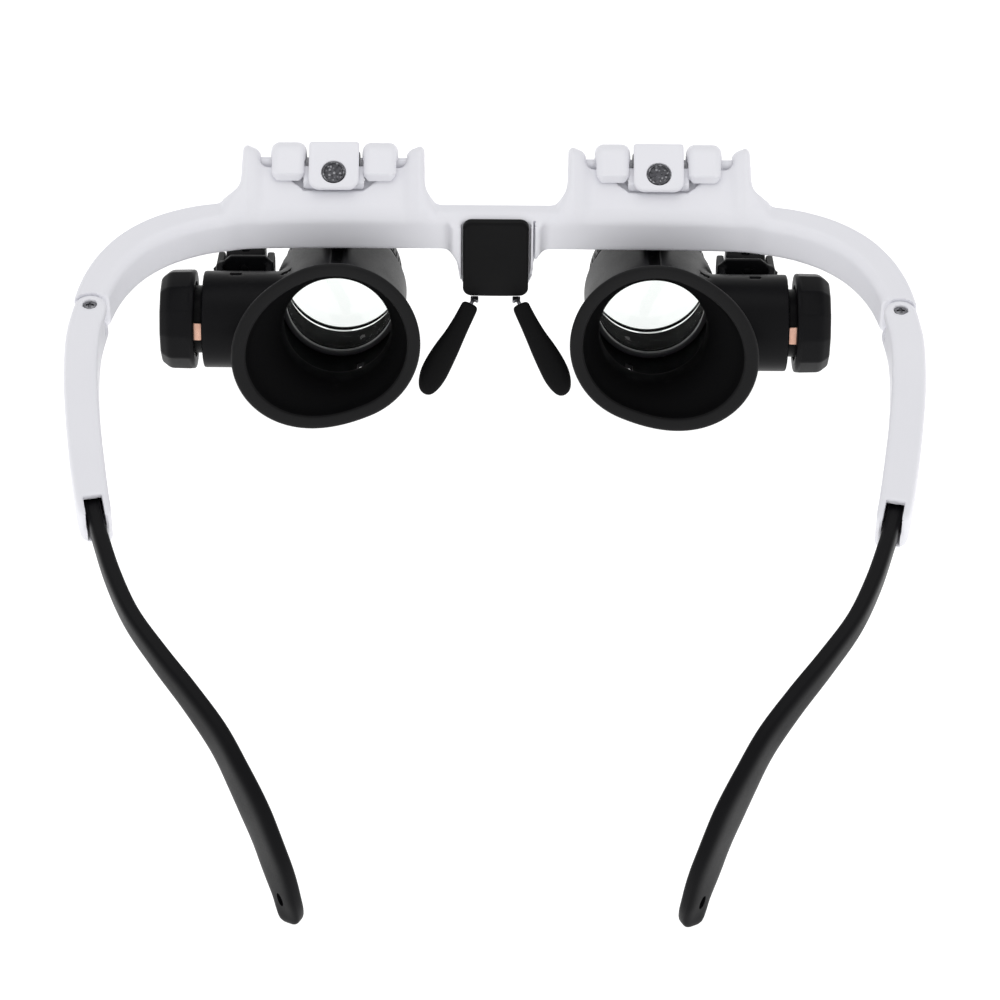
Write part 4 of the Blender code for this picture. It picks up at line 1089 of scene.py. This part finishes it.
# --------------------------------------------------------------------------------------------------------------
# Slide carriage, clamp plate and its screw
# --------------------------------------------------------------------------------------------------------------


@dataclass
class Carriage:
    """The right carriage: two pillow blocks on the rod, a web between them, the clamp plate and its screw."""

    maker: Maker
    slope: Slope = field(default_factory=Slope)
    rod: Rod = field(default_factory=Rod)
    x: float = 34.2
    blocks: Pair = (5.9, 13.4)
    block_radius: float = 4.2
    block_rise: float = 0.5
    block_rear: float = 95.4
    brow: float = 98.9
    web: Pair = (95.0, 98.5)
    web_heights: Pair = (-1.05, 0.6)
    web_overlap: float = 0.5
    screw_hole: float = 1.3
    plate: tuple[float, float, float] = (10.6, 93.4, 103.3)
    plate_corner: float = 2.3
    plate_low: float = 0.9
    plate_high: float = 2.3
    screw_y: float = 96.8
    pips: SizedTree = field(default_factory=pip_ring_tree)

    def profile(self) -> list[Pair]:
        """A block from the side: round about the rod, with a lip that lies down the slope."""
        top = arc((self.rod.y, self.rod.z + self.block_rise), self.block_radius, 117, -130, 30)
        lift = self.block_radius + self.block_rise - 2.5
        ledge = self.brow + 0.45
        return [(self.block_rear, self.slope.height(self.block_rear, 0.3)),
                (self.block_rear, self.slope.height(self.block_rear, lift)), *top,
                (98.75, 3.3), (ledge, 4.4), (ledge, self.slope.height(ledge)),
                (self.brow, self.slope.height(self.brow, 0.3))]

    def rule(self, x: Values, y: Values, z: Values) -> Values:
        """The distance to the carriage's surface."""
        aside = np.abs(x - self.x)
        side = outline(y, z, self.profile())
        body = meet(side, between(aside, *self.blocks), 1.9)
        web = np.maximum(between(self.slope.above(y, z), *self.web_heights), between(y, *self.web))
        body = np.minimum(body, np.maximum(web, aside - self.blocks[0] - self.web_overlap))
        body = np.maximum(body, self.rod.bore - np.hypot(y - self.rod.y, z - self.rod.z))
        run = self.slope.up_along(y, z, self.screw_y)
        return np.maximum(body, self.screw_hole - np.hypot(x - self.x, run))

    def plate_rule(self, x: Values, y: Values, z: Values) -> Values:
        """The distance to the clamp plate, in the slope's own frame about the screw."""
        width, rear, front = self.plate
        scale = 1 / math.cos(self.slope.angle)
        low, high = (rear - self.screw_y) * scale, (front - self.screw_y) * scale
        flat = block(x, y, 0.0 * z, (-width / 2, low, -50), (width / 2, high + 2, 50), self.plate_corner)
        flat = meet(flat, y - high + 0.0 * z, 0.6)
        away = np.hypot(x, y)
        roof = z - self.plate_high + 0.02 * np.maximum(y - 4.0, 0.0) ** 2
        body = meet(flat, np.maximum(roof, self.plate_low - z), 0.55)
        body = carve(body, np.maximum(away - 2.6, 1.35 - z), 0.25)
        return np.maximum(body, 1.4 - away)

    def build(self) -> None:
        """Makes both sides' carriages, plates and screws."""
        maker, finishes = self.maker, self.maker.finishes
        place = maker.design()
        body = skin(self.rule, (20.6, 93.8, -1.0), (47.8, 106.0, 8.4), 0.34)
        maker.both("white_slide", body.placed(place), [finishes.white], "slider", "white_abs", ["slide_carriage"])
        seat = place @ Matrix.Translation((self.x, self.screw_y, self.slope.height(self.screw_y)))
        seat = seat @ Matrix.Rotation(self.slope.angle, 4, "X")
        plate = skin(self.plate_rule, (-5.5, -4.1, 0.8), (5.5, 7.6, 2.4), 0.22)
        maker.both("white_clamp_plate", plate.placed(seat), [finishes.white], "slider", "white_abs", ["clamp_plate"])
        maker.both("clamp_screw_head", self.screw().placed(seat), [finishes.dark_steel], "slider", "steel",
                   ["clamp_screw"])
        for name, count, radius, pip, turn_by in (("outer", 9, 1.55, (0.34, 0.20, 0.16), 0.0),
                                                  ("inner", 4, 0.72, (0.26, 0.17, 0.14), 0.4)):
            ring = self.pips.grow({
                "count": count, "radius": radius, "height": 1.86, "pip": pip, "turn": turn_by,
                "material": finishes.dark_steel,
            })
            maker.both(f"clamp_screw_{name}_pips", ring.placed(seat), [finishes.dark_steel], "slider", "steel")

    def screw(self) -> Shape:
        """The screw: a rimmed head with a dished face, and its shank."""
        profile = eased([(0, 1.84, 0), (1.95, 1.84, 0.1), (2.02, 2.12, 0.08), (2.38, 2.12, 0.14), (2.4, 1.5, 0.05),
                         (1.1, 1.5, 0.0), (1.1, -0.75, 0.1), (0, -0.75, 0)])
        return turn(profile, 72)


# --------------------------------------------------------------------------------------------------------------
# Nose piece
# --------------------------------------------------------------------------------------------------------------


@dataclass
class NosePiece:
    """The black block in the holder, and a leaf-shaped pad on a short wire at each lower corner."""

    maker: Maker
    half: float = 6.95
    rear: float = 86.0
    front: float = 88.0
    bottom: float = -19.3
    top: float = 0.3
    pad_top: tuple[float, float, float] = (5.2, 84.4, -19.8)
    pad_bottom: tuple[float, float, float] = (14.2, 73.8, -36.6)
    pad_face: tuple[float, float, float] = (0.0, -0.743, 0.669)
    wires: SizedTree = field(default_factory=bent_wire_tree)

    def rule(self, x: Values, y: Values, z: Values) -> Values:
        """The distance to the block, whose face bellies out a little."""
        plan = block(x, 0.0 * y, z, (-self.half, -9, self.bottom), (self.half, 9, self.top), 1.9)
        belly = 0.18 * (x / self.half) ** 2
        return meet(plan, np.maximum(self.rear + belly - y, y - self.front), 0.5)

    def pad(self) -> Shape:
        """A soft leaf: a narrow neck, a straight inner edge and an outer edge that swells toward the end."""
        start, end = Vector(self.pad_top), Vector(self.pad_bottom)
        along = (end - start).normalized()
        broad = Vector(self.pad_face).cross(along).normalized()
        thin = along.cross(broad)
        length = (end - start).length
        stations = ((0.0, 0.2, 0.6, 0.0), (0.008, 0.5, 1.35, 0.0), (0.03, 0.75, 1.75, 0.0), (0.08, 0.9, 1.85, 0.0),
                    (0.2, 1.05, 1.95, 0.1), (0.35, 1.15, 2.2, 0.3), (0.5, 1.25, 2.6, 0.6), (0.65, 1.3, 2.85, 0.85),
                    (0.78, 1.3, 2.85, 0.95), (0.88, 1.15, 2.45, 0.95), (0.95, 0.85, 1.8, 0.9), (0.985, 0.5, 1.1, 0.85),
                    (1.0, 0.1, 0.3, 0.8))
        rings = []
        for share, thick, wide, lean in smooth_line(stations, 5):
            middle = start + along * length * share + broad * lean
            ring = []
            for i in range(36):
                angle = math.tau * i / 36
                u, v = math.cos(angle), math.sin(angle)
                power = 2 / 2.6
                ring.append(middle + thin * math.copysign(abs(u) ** power, u) * thick
                            + broad * math.copysign(abs(v) ** power, v) * wide)
            rings.append(ring)
        return loft(rings)

    def clip(self, x: Values, y: Values, z: Values) -> Values:
        """The small bright clip that the wire leaves from."""
        shell = block(x, y, z, (3.6, 85.0, -20.2), (5.3, 86.6, -19.45), 0.2)
        return carve(shell, np.maximum(np.abs(x - 4.45) - 0.25, y - 85.3), 0.1)

    def build(self) -> None:
        """Makes the block, the pads and their wires."""
        maker, finishes = self.maker, self.maker.finishes
        place = maker.design()
        body = skin(self.rule, (-7.1, 85.9, -19.5), (7.1, 88.1, 0.5), 0.28)
        maker.piece("black_nose_block", body.placed(place), [finishes.rubber], "frame", "black_rubber", ["nose_block"])
        maker.both("black_nose_pad", self.pad().placed(place), [finishes.rubber], "nose_pad", "black_rubber",
                   ["nose_pad"])
        start = Vector((4.6, self.rear + 0.4, self.bottom - 0.5))
        end = Vector(self.pad_top) + Vector((0.1, -0.1, -0.3))
        wire = self.wires.grow({
            "start": start, "corner": (start.x + 0.2, start.y - 1.2, start.z + 0.1), "end": end, "wire": 0.42,
            "material": finishes.steel,
        }).joined(skin(self.clip, (3.4, 84.8, -20.4), (5.5, 86.8, -19.3), 0.1))
        for side, one in ((Side.LEFT, wire.placed(place).mirrored()), (Side.RIGHT, wire.placed(place))):
            maker.piece(f"nose_wire_{side.label}", one, [finishes.steel], "frame", "steel",
                        [f"nose_pad_wire_{side.label}"])


# --------------------------------------------------------------------------------------------------------------
# Loupes
# --------------------------------------------------------------------------------------------------------------


@dataclass
class Tube:
    """The battery tube's place and radii."""

    down: float = 1.4
    station: float = 3.7
    radius: float = 10.3
    end: float = 28.6
    neck: float = 7.2
    neck_end: float = 33.8
    bore: float = 6.1


@dataclass
class Loupe:
    """The right loupe: barrel with its tube, hanger, lenses and front holder."""

    maker: Maker
    tube: Tube = field(default_factory=Tube)
    rod: Rod = field(default_factory=Rod)
    radius: float = 14.2
    bore: float = 13.0
    rear: float = -7.0
    front: float = 18.0
    lip: tuple[float, float, float] = (14.6, 15.8, 12.0)
    holder: tuple[float, float, float] = (13.1, 12.5, 29.6)
    lamp: tuple[float, float, float] = (20.4, -5.6, 18.2)
    lamp_width: float = 8.4
    ear: float = 1.6
    hang_x: float = 34.2
    droop: float = math.radians(18)
    axis: Pair = (81.2, -22.0)
    pips: SizedTree = field(default_factory=pip_ring_tree)

    def lamp_ears(self, x: Values, y: Values, z: Values) -> Values:
        """The two ears on the tube that hold the lamp's pin, with chamfered tops."""
        low, high = self.tube.station + 5.0, self.lamp[2] + 2.6
        profile = [(self.lamp[1] - 2.6, low + 3.0), (self.lamp[1] - 2.6, high - 1.6), (self.lamp[1] - 1.0, high),
                   (self.lamp[1] + 4.4, high), (self.lamp[1] + 4.4, low), (self.lamp[1] - 0.4, low)]
        plate = outline(y, z, profile)
        centre = np.abs(x - self.lamp[0])
        inner = self.lamp_width / 2 + 0.3
        ears = meet(plate, between(centre, inner, inner + self.ear), 0.4)
        wing = [(-6.1, -4.0), (-6.1, -8.2), (-4.4, -9.8), (3.0, -9.8), (6.9, -6.7), (6.1, -5.7), (6.1, -4.0)]
        wall = meet(outline(x - self.lamp[0] + 0.0 * y, y + 0.0 * x, wing), between(z, 12.0, 13.2), 0.25)
        arch = np.maximum(np.hypot(x - self.lamp[0] - 0.3, y + 7.0), 0.0) - 0.95
        return fuse(ears, carve(wall, np.minimum(arch, np.maximum(np.abs(x - self.lamp[0] - 0.3) - 0.95, -7.0 - y)),
                                0.15), 0.4)

    def body(self, x: Values, y: Values, z: Values) -> Values:
        """The distance to the barrel and tube, moulded in one."""
        away = np.hypot(x, y)
        round_tube = np.hypot(y - self.tube.down, z - self.tube.station)
        barrel = meet(away - self.radius, between(z, self.rear, self.front), 0.5)
        tube = meet(round_tube - self.tube.radius, between(x, 4.0, self.tube.end), 0.45)
        body = fuse(barrel, tube, 1.4)
        neck = meet(round_tube - self.tube.neck, between(x, 20.0, self.tube.neck_end), 0.3)
        body = np.minimum(body, neck)
        body = fuse(body, self.lamp_ears(x, y, z), 0.6)
        lip = between(z, self.lip[0], self.lip[1])
        hollow = np.minimum(away - self.lip[2], np.maximum(away - self.bore, -lip))
        body = carve(body, hollow, 0.3)
        body = np.maximum(body, -np.maximum(round_tube - self.tube.bore, 17.4 - x))
        groove = block(x, y, z, (-1.3, -16.0, -9.0), (1.3, -13.35, 6.5), 0.2)
        body = carve(body, groove, 0.2)
        notch = block(x, y, z, (-6.0, 12.0, 2.5), (-3.8, 13.5, 6.5), 0.2)
        body = carve(body, notch, 0.15)
        pin = np.maximum(np.hypot(y - self.lamp[1], z - self.lamp[2]) - 1.0, between(x, 12.0, 30.0))
        body = np.maximum(body, -pin)
        for place in (9.6, 20.5):
            dent = block(x, y, z, (place, -9.6, 3.0), (place + 2.4, -8.4, 4.2), 0.15)
            body = carve(body, dent, 0.1)
        return body

    def hanger(self, x: Values, y: Values, z: Values) -> Values:
        """The distance to the arm from the rod to a saddle on the barrel, in the design frame."""
        aside = np.abs(x - self.hang_x)
        away = np.hypot(y - self.rod.y, z - self.rod.z)
        knuckle = meet(away - 2.7, aside - 5.4, 0.4)
        sine, cosine = math.sin(self.droop), math.cos(self.droop)
        lift = self.radius + 0.3

        def on_barrel(station: float, rise: float) -> Pair:
            """A point above the barrel's top line."""
            return (self.axis[0] + station * cosine + (lift + rise) * sine,
                    self.axis[1] - station * sine + (lift + rise) * cosine)

        rear, front = on_barrel(12.6, 0.0), on_barrel(17.6, 0.0)
        profile = [(self.rod.y - 2.2, self.rod.z), (self.rod.y - 2.0, self.rod.z - 9.0), on_barrel(12.6, 1.6), rear,
                   front, on_barrel(17.6, 1.6), (self.rod.y + 2.2, self.rod.z - 9.0), (self.rod.y + 2.4, self.rod.z)]
        arm = meet(outline(y, z, profile), aside - 4.0, 0.5)
        return np.maximum(fuse(knuckle, arm, 0.8), self.rod.bore - away)

    def lens(self, radius: float, edge: float, crown: float, middle: float) -> Shape:
        """A lens that bulges on both faces."""
        steps = 10
        front = [(radius * i / steps, middle + edge / 2 + crown * (1 - (i / steps) ** 2)) for i in range(steps + 1)]
        rear = [(radius * i / steps, middle - edge / 2 - crown * (1 - (i / steps) ** 2))
                for i in range(steps, -1, -1)]
        return turn([*front, *rear])

    def build(self) -> None:
        """Makes both loupes' barrels, hangers and optics."""
        maker, finishes = self.maker, self.maker.finishes
        place = maker.loupe()
        body = skin(self.body, (-14.8, -14.8, -7.4), (34.3, 14.8, 21.2), 0.42)
        # Faces inside the barrel's bore take the painted-shade inner finish.
        limit = self.bore + 0.25
        body.marked(lambda x, y, z: (np.hypot(x, y) < limit) & (z > self.rear + 0.2) & (x < 13.2))
        maker.both("black_loupe_body", body.placed(place), [finishes.black, finishes.inner_shade], "loupe", "black_abs",
                   ["loupe_body"])
        hanger = skin(self.hanger, (28.4, 95.0, -14.0), (40.0, 105.0, 7.0), 0.34)
        maker.both("black_hanger", hanger.placed(maker.design()), [finishes.black], "loupe", "black_abs",
                   ["loupe_hanger"])
        start = self.lip[0]
        maker.both("clear_rear_lens", self.lens(12.5, 1.2, 0.3, start - 1.0).placed(place), [finishes.glass],
                   "loupe", "lens_glass", ["rear_lens"])
        ring = eased([(11.7, start - 1.9, 0.15), (12.7, start - 1.9, 0.15), (12.7, start - 3.4, 0.15),
                      (11.7, start - 3.4, 0.35)], True)
        maker.both("anodised_lens_ring", turn(ring, closed=True).placed(place), [finishes.anodised], "loupe", "steel",
                   ["rear_lens_ring"])
        holder = self.front_holder()
        # Faces inside the holder, short of its mouth, take the painted-shade inner finish.
        inside = self.holder[1] + 0.1
        holder.marked(lambda x, y, z: (np.hypot(x, y) < inside) & (z < self.holder[2] - 0.4))
        maker.both("black_front_holder", holder.placed(place), [finishes.black, finishes.inner_shade], "loupe",
                   "black_abs", ["front_lens_holder"])
        mouth = self.holder[2] - 1.0
        maker.both("clear_front_lens", self.lens(self.holder[1] - 0.3, 1.4, 0.3, mouth - 1.6).placed(place),
                   [finishes.glass], "loupe", "lens_glass", ["front_lens"])

    def front_holder(self) -> Shape:
        """The screw-in holder of the front lens, with a ring of grip ribs about its mouth."""
        radius, bore, front = self.holder
        mouth = front - 1.0
        shoulder = self.front + 0.3
        loop = eased([
            (bore - 0.5, front, 0.2), (radius - 0.2, front, 0.4), (radius - 0.2, front - 5.0, 0.1),
            (radius - 0.45, front - 5.2, 0.05), (radius - 0.45, front - 5.7, 0.05), (radius - 0.2, front - 5.9, 0.1),
            (radius - 0.2, shoulder, 0.1), (self.bore - 0.3, shoulder, 0.05), (self.bore - 0.3, self.lip[1] + 0.3, 0.2),
            (bore - 0.6, self.lip[1] + 0.3, 0.2), (bore - 0.6, mouth - 3.4, 0.05), (bore, mouth - 3.4, 0.05),
            (bore, mouth, 0.05), (bore - 0.5, mouth, 0.05)], True)
        body = turn(loop, closed=True)
        ribs = self.pips.grow({
            "count": 60, "radius": radius - 0.22, "height": front - 2.9, "pip": (0.22, 0.3, 1.7), "turn": 0.0,
            "material": self.maker.finishes.black,
        })
        return body.joined(ribs)


@dataclass
class Eyecup:
    """The right rubber eyecup: a spigot in the barrel and a winged flare toward the eye socket."""

    maker: Maker
    rim: float = 17.8
    bulge: float = 4.5
    station: float = -14.0
    wing: float = 2.2
    toward: float = math.radians(24)
    barrel: float = 14.2
    bore: float = 13.0
    rear: float = -7.0
    first_shaded_row: int = 13
    row_steps: int = 5

    def build(self) -> None:
        """Makes both eyecups."""
        rim, barrel = self.station, self.barrel
        rows = ((self.bore - 0.3, 0, self.rear + 6, 0), (self.bore - 0.3, 0, self.rear + 2, 0),
                (self.bore - 0.3, 0, self.rear - 0.25, 0), (barrel - 0.2, 0, self.rear - 0.32, 0),
                (barrel + 0.1, 0.05, self.rear - 0.7, 0), (barrel + 0.35, 0.5, self.rear - 1.9, 0.05),
                (self.rim - 1.5, self.bulge * 0.62, rim + 3.0, 0.55),
                (self.rim - 0.25, self.bulge * 0.94, rim + 1.3, 0.95),
                (self.rim, self.bulge, rim + 0.6, 1), (self.rim - 0.15, self.bulge, rim + 0.05, 1),
                (self.rim - 0.6, self.bulge, rim - 0.28, 1), (self.rim - 1.5, self.bulge * 0.97, rim - 0.3, 1),
                (self.rim - 2.5, self.bulge * 0.95, rim - 0.1, 1), (self.rim - 2.8, self.bulge * 0.93, rim + 0.5, 1),
                (self.rim - 3.3, self.bulge * 0.78, rim + 2.4, 0.7), (barrel - 1.2, self.bulge * 0.3, rim + 4.9, 0.25),
                (12.0, self.bulge * 0.05, rim + 7.2, 0.03), (11.5, 0, self.rear + 2.2, 0),
                (11.4, 0, self.rear + 5.9, 0))
        loops = smooth_line([*rows, rows[0]], self.row_steps)[:-1]
        rings = []
        steps = 120
        for base, bulge, station, wing in loops:
            ring = []
            for i in range(steps):
                angle = math.tau * i / steps
                lean = max(0.0, math.cos(angle - self.toward)) ** 2
                radius = base + bulge * lean
                ring.append((radius * math.cos(angle), radius * math.sin(angle), station - self.wing * wing * lean))
            rings.append(ring)
        shape = loft(rings, closed=True)
        # Rows from the rim inward take the painted-shade inner finish; the rest keep the cup rubber.
        shaded_rows = [row >= self.first_shaded_row * self.row_steps for row in range(len(rings))]
        shape.marks = np.repeat(shaded_rows, steps).astype(int)
        finishes = [self.maker.finishes.cup_rubber, self.maker.finishes.inner_shade]
        self.maker.both("rubber_eyecup", shape.placed(self.maker.loupe()), finishes, "eyecup", "black_rubber",
                        ["eyecup"])


@dataclass
class Battery:
    """What the right tube holds: cells, spring, contact strip and twist cap."""

    maker: Maker
    tube: Tube = field(default_factory=Tube)
    cell: tuple[float, float, float, float] = (22.7, 5.8, 3.05, 3.35)
    cap: tuple[float, float, float, float] = (30.3, 37.6, 10.7, 8.1)
    sides: int = 12
    coils: SizedTree = field(default_factory=coil_tree)

    def faceted(self, radius: float, angle: float, height: float) -> float:
        """The cap's radius, with soft grip facets along its wall."""
        start, _, wall, _ = self.cap
        if radius < wall - 2.4:
            return radius
        share = min(1.0, max(0.0, (height - start - 0.4) / 0.8)) * 0.85
        turned = angle % (math.tau / self.sides) - math.pi / self.sides
        flat = math.cos(math.pi / self.sides) / math.cos(turned)
        return radius * (1 - share * (1 - flat))

    def build(self) -> None:
        """Makes both sides' caps and what lies in the tubes."""
        maker, finishes = self.maker, self.maker.finishes
        place = maker.tube(self.tube.down, self.tube.station)
        start, end, wall, bore = self.cap
        profile = eased([(0, end - 0.15, 0), (wall - 3.4, end - 0.1, 0.6), (wall - 1.7, end, 0.7),
                         (wall - 0.1, end - 2.0, 0.8), (wall, start + 0.9, 0.5), (wall - 0.3, start, 0.35),
                         (bore, start, 0.1), (bore, end - 2.0, 0.3), (0, end - 2.0, 0)])
        cap = turn(profile, 168, waves=self.faceted)
        maker.both("black_battery_cap", cap.placed(place), [finishes.black], "cap", "black_abs", ["battery_cap"])
        first, radius, thick, pitch = self.cell
        for i in range(3):
            low = first + i * pitch
            can = eased([(0, low + thick, 0), (radius - 1.0, low + thick, 0.1), (radius - 1.0, low + thick - 0.3, 0.05),
                         (radius, low + thick - 0.5, 0.2), (radius, low, 0.25), (0, low, 0)])
            maker.both(f"cell_can_{i + 1}", turn(can, 48).placed(place), [finishes.can], "loupe", "nickel_cell",
                       [f"button_cell_{i + 1}"])
        coil = self.coils.grow({
            "turns": 3.0, "first": 4.6, "last": 2.4, "rise": 4.2, "wire": 0.25, "material": finishes.steel,
        })
        low = place @ Matrix.Translation((0, 0, 18.0))
        maker.both("cell_spring", coil.placed(low), [finishes.steel], "loupe", "steel", ["battery_spring"])
        strip = skin(self.strip, (-2.1, -8.0, 28.5), (2.1, -7.2, 33.5), 0.12)
        turned = place @ Matrix.Rotation(math.pi / 2, 4, "Z")
        maker.both("bronze_contact", strip.placed(turned), [finishes.bronze], "loupe", "copper", ["contact_strip"])

    def strip(self, x: Values, y: Values, z: Values) -> Values:
        """The contact strip on the neck, its middle pressed out a little."""
        bow = -7.55 - 0.06 * np.cos((z - 31.0) * 0.9)
        return meet(block(x, 0.0 * y, z, (-1.9, -9, 28.8), (1.9, 9, 33.2), 0.2), np.abs(y - bow) - 0.13, 0.06)


@dataclass
class Lamp:
    """The right lamp: its tilting housing, the bulb in its mouth, the die in the bulb, and the pin."""

    maker: Maker
    pivot: tuple[float, float, float] = (20.4, -5.6, 18.2)
    radius: float = 4.5
    width: float = 8.4
    snout: float = 3.6

    def housing(self, x: Values, y: Values, z: Values) -> Values:
        """The distance to the housing about its pivot."""
        half = self.width / 2
        drum = meet(np.hypot(y, z) - self.radius, np.abs(x) - half, 0.7)
        snout = meet(np.hypot(x, y) - self.snout, between(z, 0.0, 8.2), 0.4)
        body = fuse(drum, snout, 0.8)
        window = np.maximum(np.hypot(np.abs(x) - 0.0, (z + 1.6) * 1.25) - 0.95, y + 3.4)
        body = carve(body, window, 0.2)
        body = carve(body, np.maximum(np.hypot(x, y) - 2.9, 3.4 - z), 0.2)
        return np.maximum(body, 1.0 - np.hypot(y, z))

    def build(self) -> None:
        """Makes both lamps."""
        maker, finishes = self.maker, self.maker.finishes
        place = maker.loupe() @ Matrix.Translation(self.pivot)
        body = skin(self.housing, (-4.4, -4.7, -4.7), (4.4, 4.7, 8.4), 0.3)
        maker.both("black_lamp_housing", body.placed(place), [finishes.black], "lamp", "black_abs", ["lamp_housing"])
        bulb = eased([(0, 8.0, 0), (1.2, 7.75, 0.8), (2.1, 6.8, 0.8), (2.4, 5.4, 0.6), (2.4, 4.35, 0.1),
                      (2.7, 4.3, 0.1), (2.7, 3.7, 0.1), (0, 3.7, 0)])
        maker.both("clear_lamp_bulb", turn(bulb, 48).placed(place), [finishes.epoxy], "lamp", "lamp_epoxy", ["lamp"])
        die = eased([(0, 5.2, 0), (0.7, 5.2, 0.15), (0.7, 4.6, 0.1), (1.2, 4.3, 0.2), (0, 4.0, 0)])
        maker.both("phosphor_die", turn(die, 24).placed(place), [finishes.phosphor], "lamp", "lamp_epoxy")
        half = self.width / 2 + 1.7
        pin = turn(eased([(0, half, 0), (0.8, half, 0.2), (0.8, -half, 0.2), (0, -half, 0)]), 32)
        lay = place @ Matrix.Rotation(math.pi / 2, 4, "Y")
        maker.both("lamp_pivot_pin", pin.placed(lay), [finishes.steel], "loupe", "steel", ["lamp_pin"])


# --------------------------------------------------------------------------------------------------------------
# Studio
# --------------------------------------------------------------------------------------------------------------


@dataclass
class Studio:
    """The pale floor, the soft lights and the camera."""

    target: Vector
    elevation: float = math.radians(42)
    distance: float = 0.720
    focal: float = 134.8
    roll: float = math.radians(0.4)
    shift: float = 0.0060
    glow: float = 1.0
    dim: float = 1.10
    bright: float = 0.70
    power: float = 1.9

    def camera(self) -> None:
        """The camera behind and above the wearer's side of the glasses."""
        data = bpy.data.cameras.new("studio_camera")
        data.lens = self.focal
        data.sensor_width = 36.0
        data.shift_x = self.shift
        data.clip_start = 0.05
        data.clip_end = 50.0
        made = bpy.data.objects.new("studio_camera", data)
        away = Vector((0, -math.cos(self.elevation), math.sin(self.elevation))) * self.distance
        made.location = self.target + away
        turned = (-away).to_track_quat("-Z", "Y").to_matrix() @ Matrix.Rotation(self.roll, 3, "Z")
        made.rotation_euler = turned.to_euler()
        bpy.context.scene.collection.objects.link(made)
        bpy.context.scene.camera = made

    def light(self, name: str, place: Vector, size: float, power: float) -> None:
        """A square soft light that faces the object."""
        data = bpy.data.lights.new(name, "AREA")
        data.size = size
        data.energy = power
        made = bpy.data.objects.new(name, data)
        made.location = place
        made.rotation_euler = (self.target - place).to_track_quat("-Z", "Y").to_euler()
        bpy.context.scene.collection.objects.link(made)

    def floor(self) -> None:
        """A wide pale floor under the object."""
        mesh = bpy.data.meshes.new("studio_floor")
        reach = 4.0
        low = -0.0004
        mesh.from_pydata([(-reach, -reach, low), (reach, -reach, low), (reach, reach, low), (-reach, reach, low)], [],
                         [(0, 1, 2, 3)])
        made = bpy.data.objects.new("studio_floor", mesh)
        paint = bpy.data.materials.new("pale_paper")
        paint.use_nodes = True
        shader = paint.node_tree.nodes["Principled BSDF"]
        shader.inputs["Base Color"].default_value = linear("#989898")
        shader.inputs["Emission Color"].default_value = (1.0, 1.0, 1.0, 1.0)
        shader.inputs["Emission Strength"].default_value = self.glow
        shader.inputs["Roughness"].default_value = 0.9
        shader.inputs["Specular IOR Level"].default_value = 0.1
        mesh.materials.append(paint)
        bpy.context.scene.collection.objects.link(made)

    def build(self) -> None:
        """Sets the world, the floor, the lights and the camera."""
        scene = bpy.context.scene
        scene.view_settings.view_transform = "Standard"
        world = bpy.data.worlds.new("studio_world")
        world.use_nodes = True
        tree = world.node_tree
        direction = add_node(tree, "ShaderNodeTexCoord").outputs["Generated"]
        toward = add_node(tree, "ShaderNodeVectorMath", {"operation": "DOT_PRODUCT"}, {
            0: direction, 1: (0.0, 0.55, 0.835),
        }).outputs["Value"]
        shade = add_node(tree, "ShaderNodeMapRange", {"interpolation_type": "SMOOTHSTEP"}, {
            "Value": toward, "From Min": -0.35, "From Max": 0.85, "To Min": self.dim, "To Max": self.bright,
        })
        back = tree.nodes["Background"]
        tree.links.new(shade.outputs["Result"], back.inputs["Strength"])
        back.inputs["Color"].default_value = (1.0, 1.0, 1.0, 1.0)
        scene.world = world
        self.floor()
        self.light("overhead_softbox", self.target + Vector((0, 0.35, 1.0)), 0.9, self.power)
        self.camera()


def dress_leftovers(finishes: Finishes) -> None:
    """Gives a procedural finish to every CAD node that still shows."""
    by_slot = {"white_abs": finishes.white, "black_abs": finishes.black, "black_rubber": finishes.rubber,
               "steel": finishes.steel, "copper": finishes.bronze, "nickel_cell": finishes.can,
               "lens_glass": finishes.glass, "lamp_epoxy": finishes.epoxy}
    slots = {part["node"]: part["material_slot"] for part in frame["record"]["subparts"]}
    for name, node in frame["nodes"].items():
        if node.hide_render:
            continue
        log.info("%s keeps its CAD shape", name)
        for held in node.material_slots:
            held.material = by_slot[slots[name]]


def main() -> None:
    """Builds the object's pieces, then the studio."""
    logging.basicConfig(level=logging.INFO, format="%(name)s: %(message)s")
    finishes = Finishes()
    maker = Maker(finishes)
    for assembly in (FrontFrame(maker), Temple(maker), Carriage(maker), NosePiece(maker), Loupe(maker),
                     Eyecup(maker), Battery(maker), Lamp(maker)):
        assembly.build()
    dress_leftovers(finishes)
    datum = maker.design().to_translation()
    Studio(datum).build()


if __name__ == "__main__":
    main()
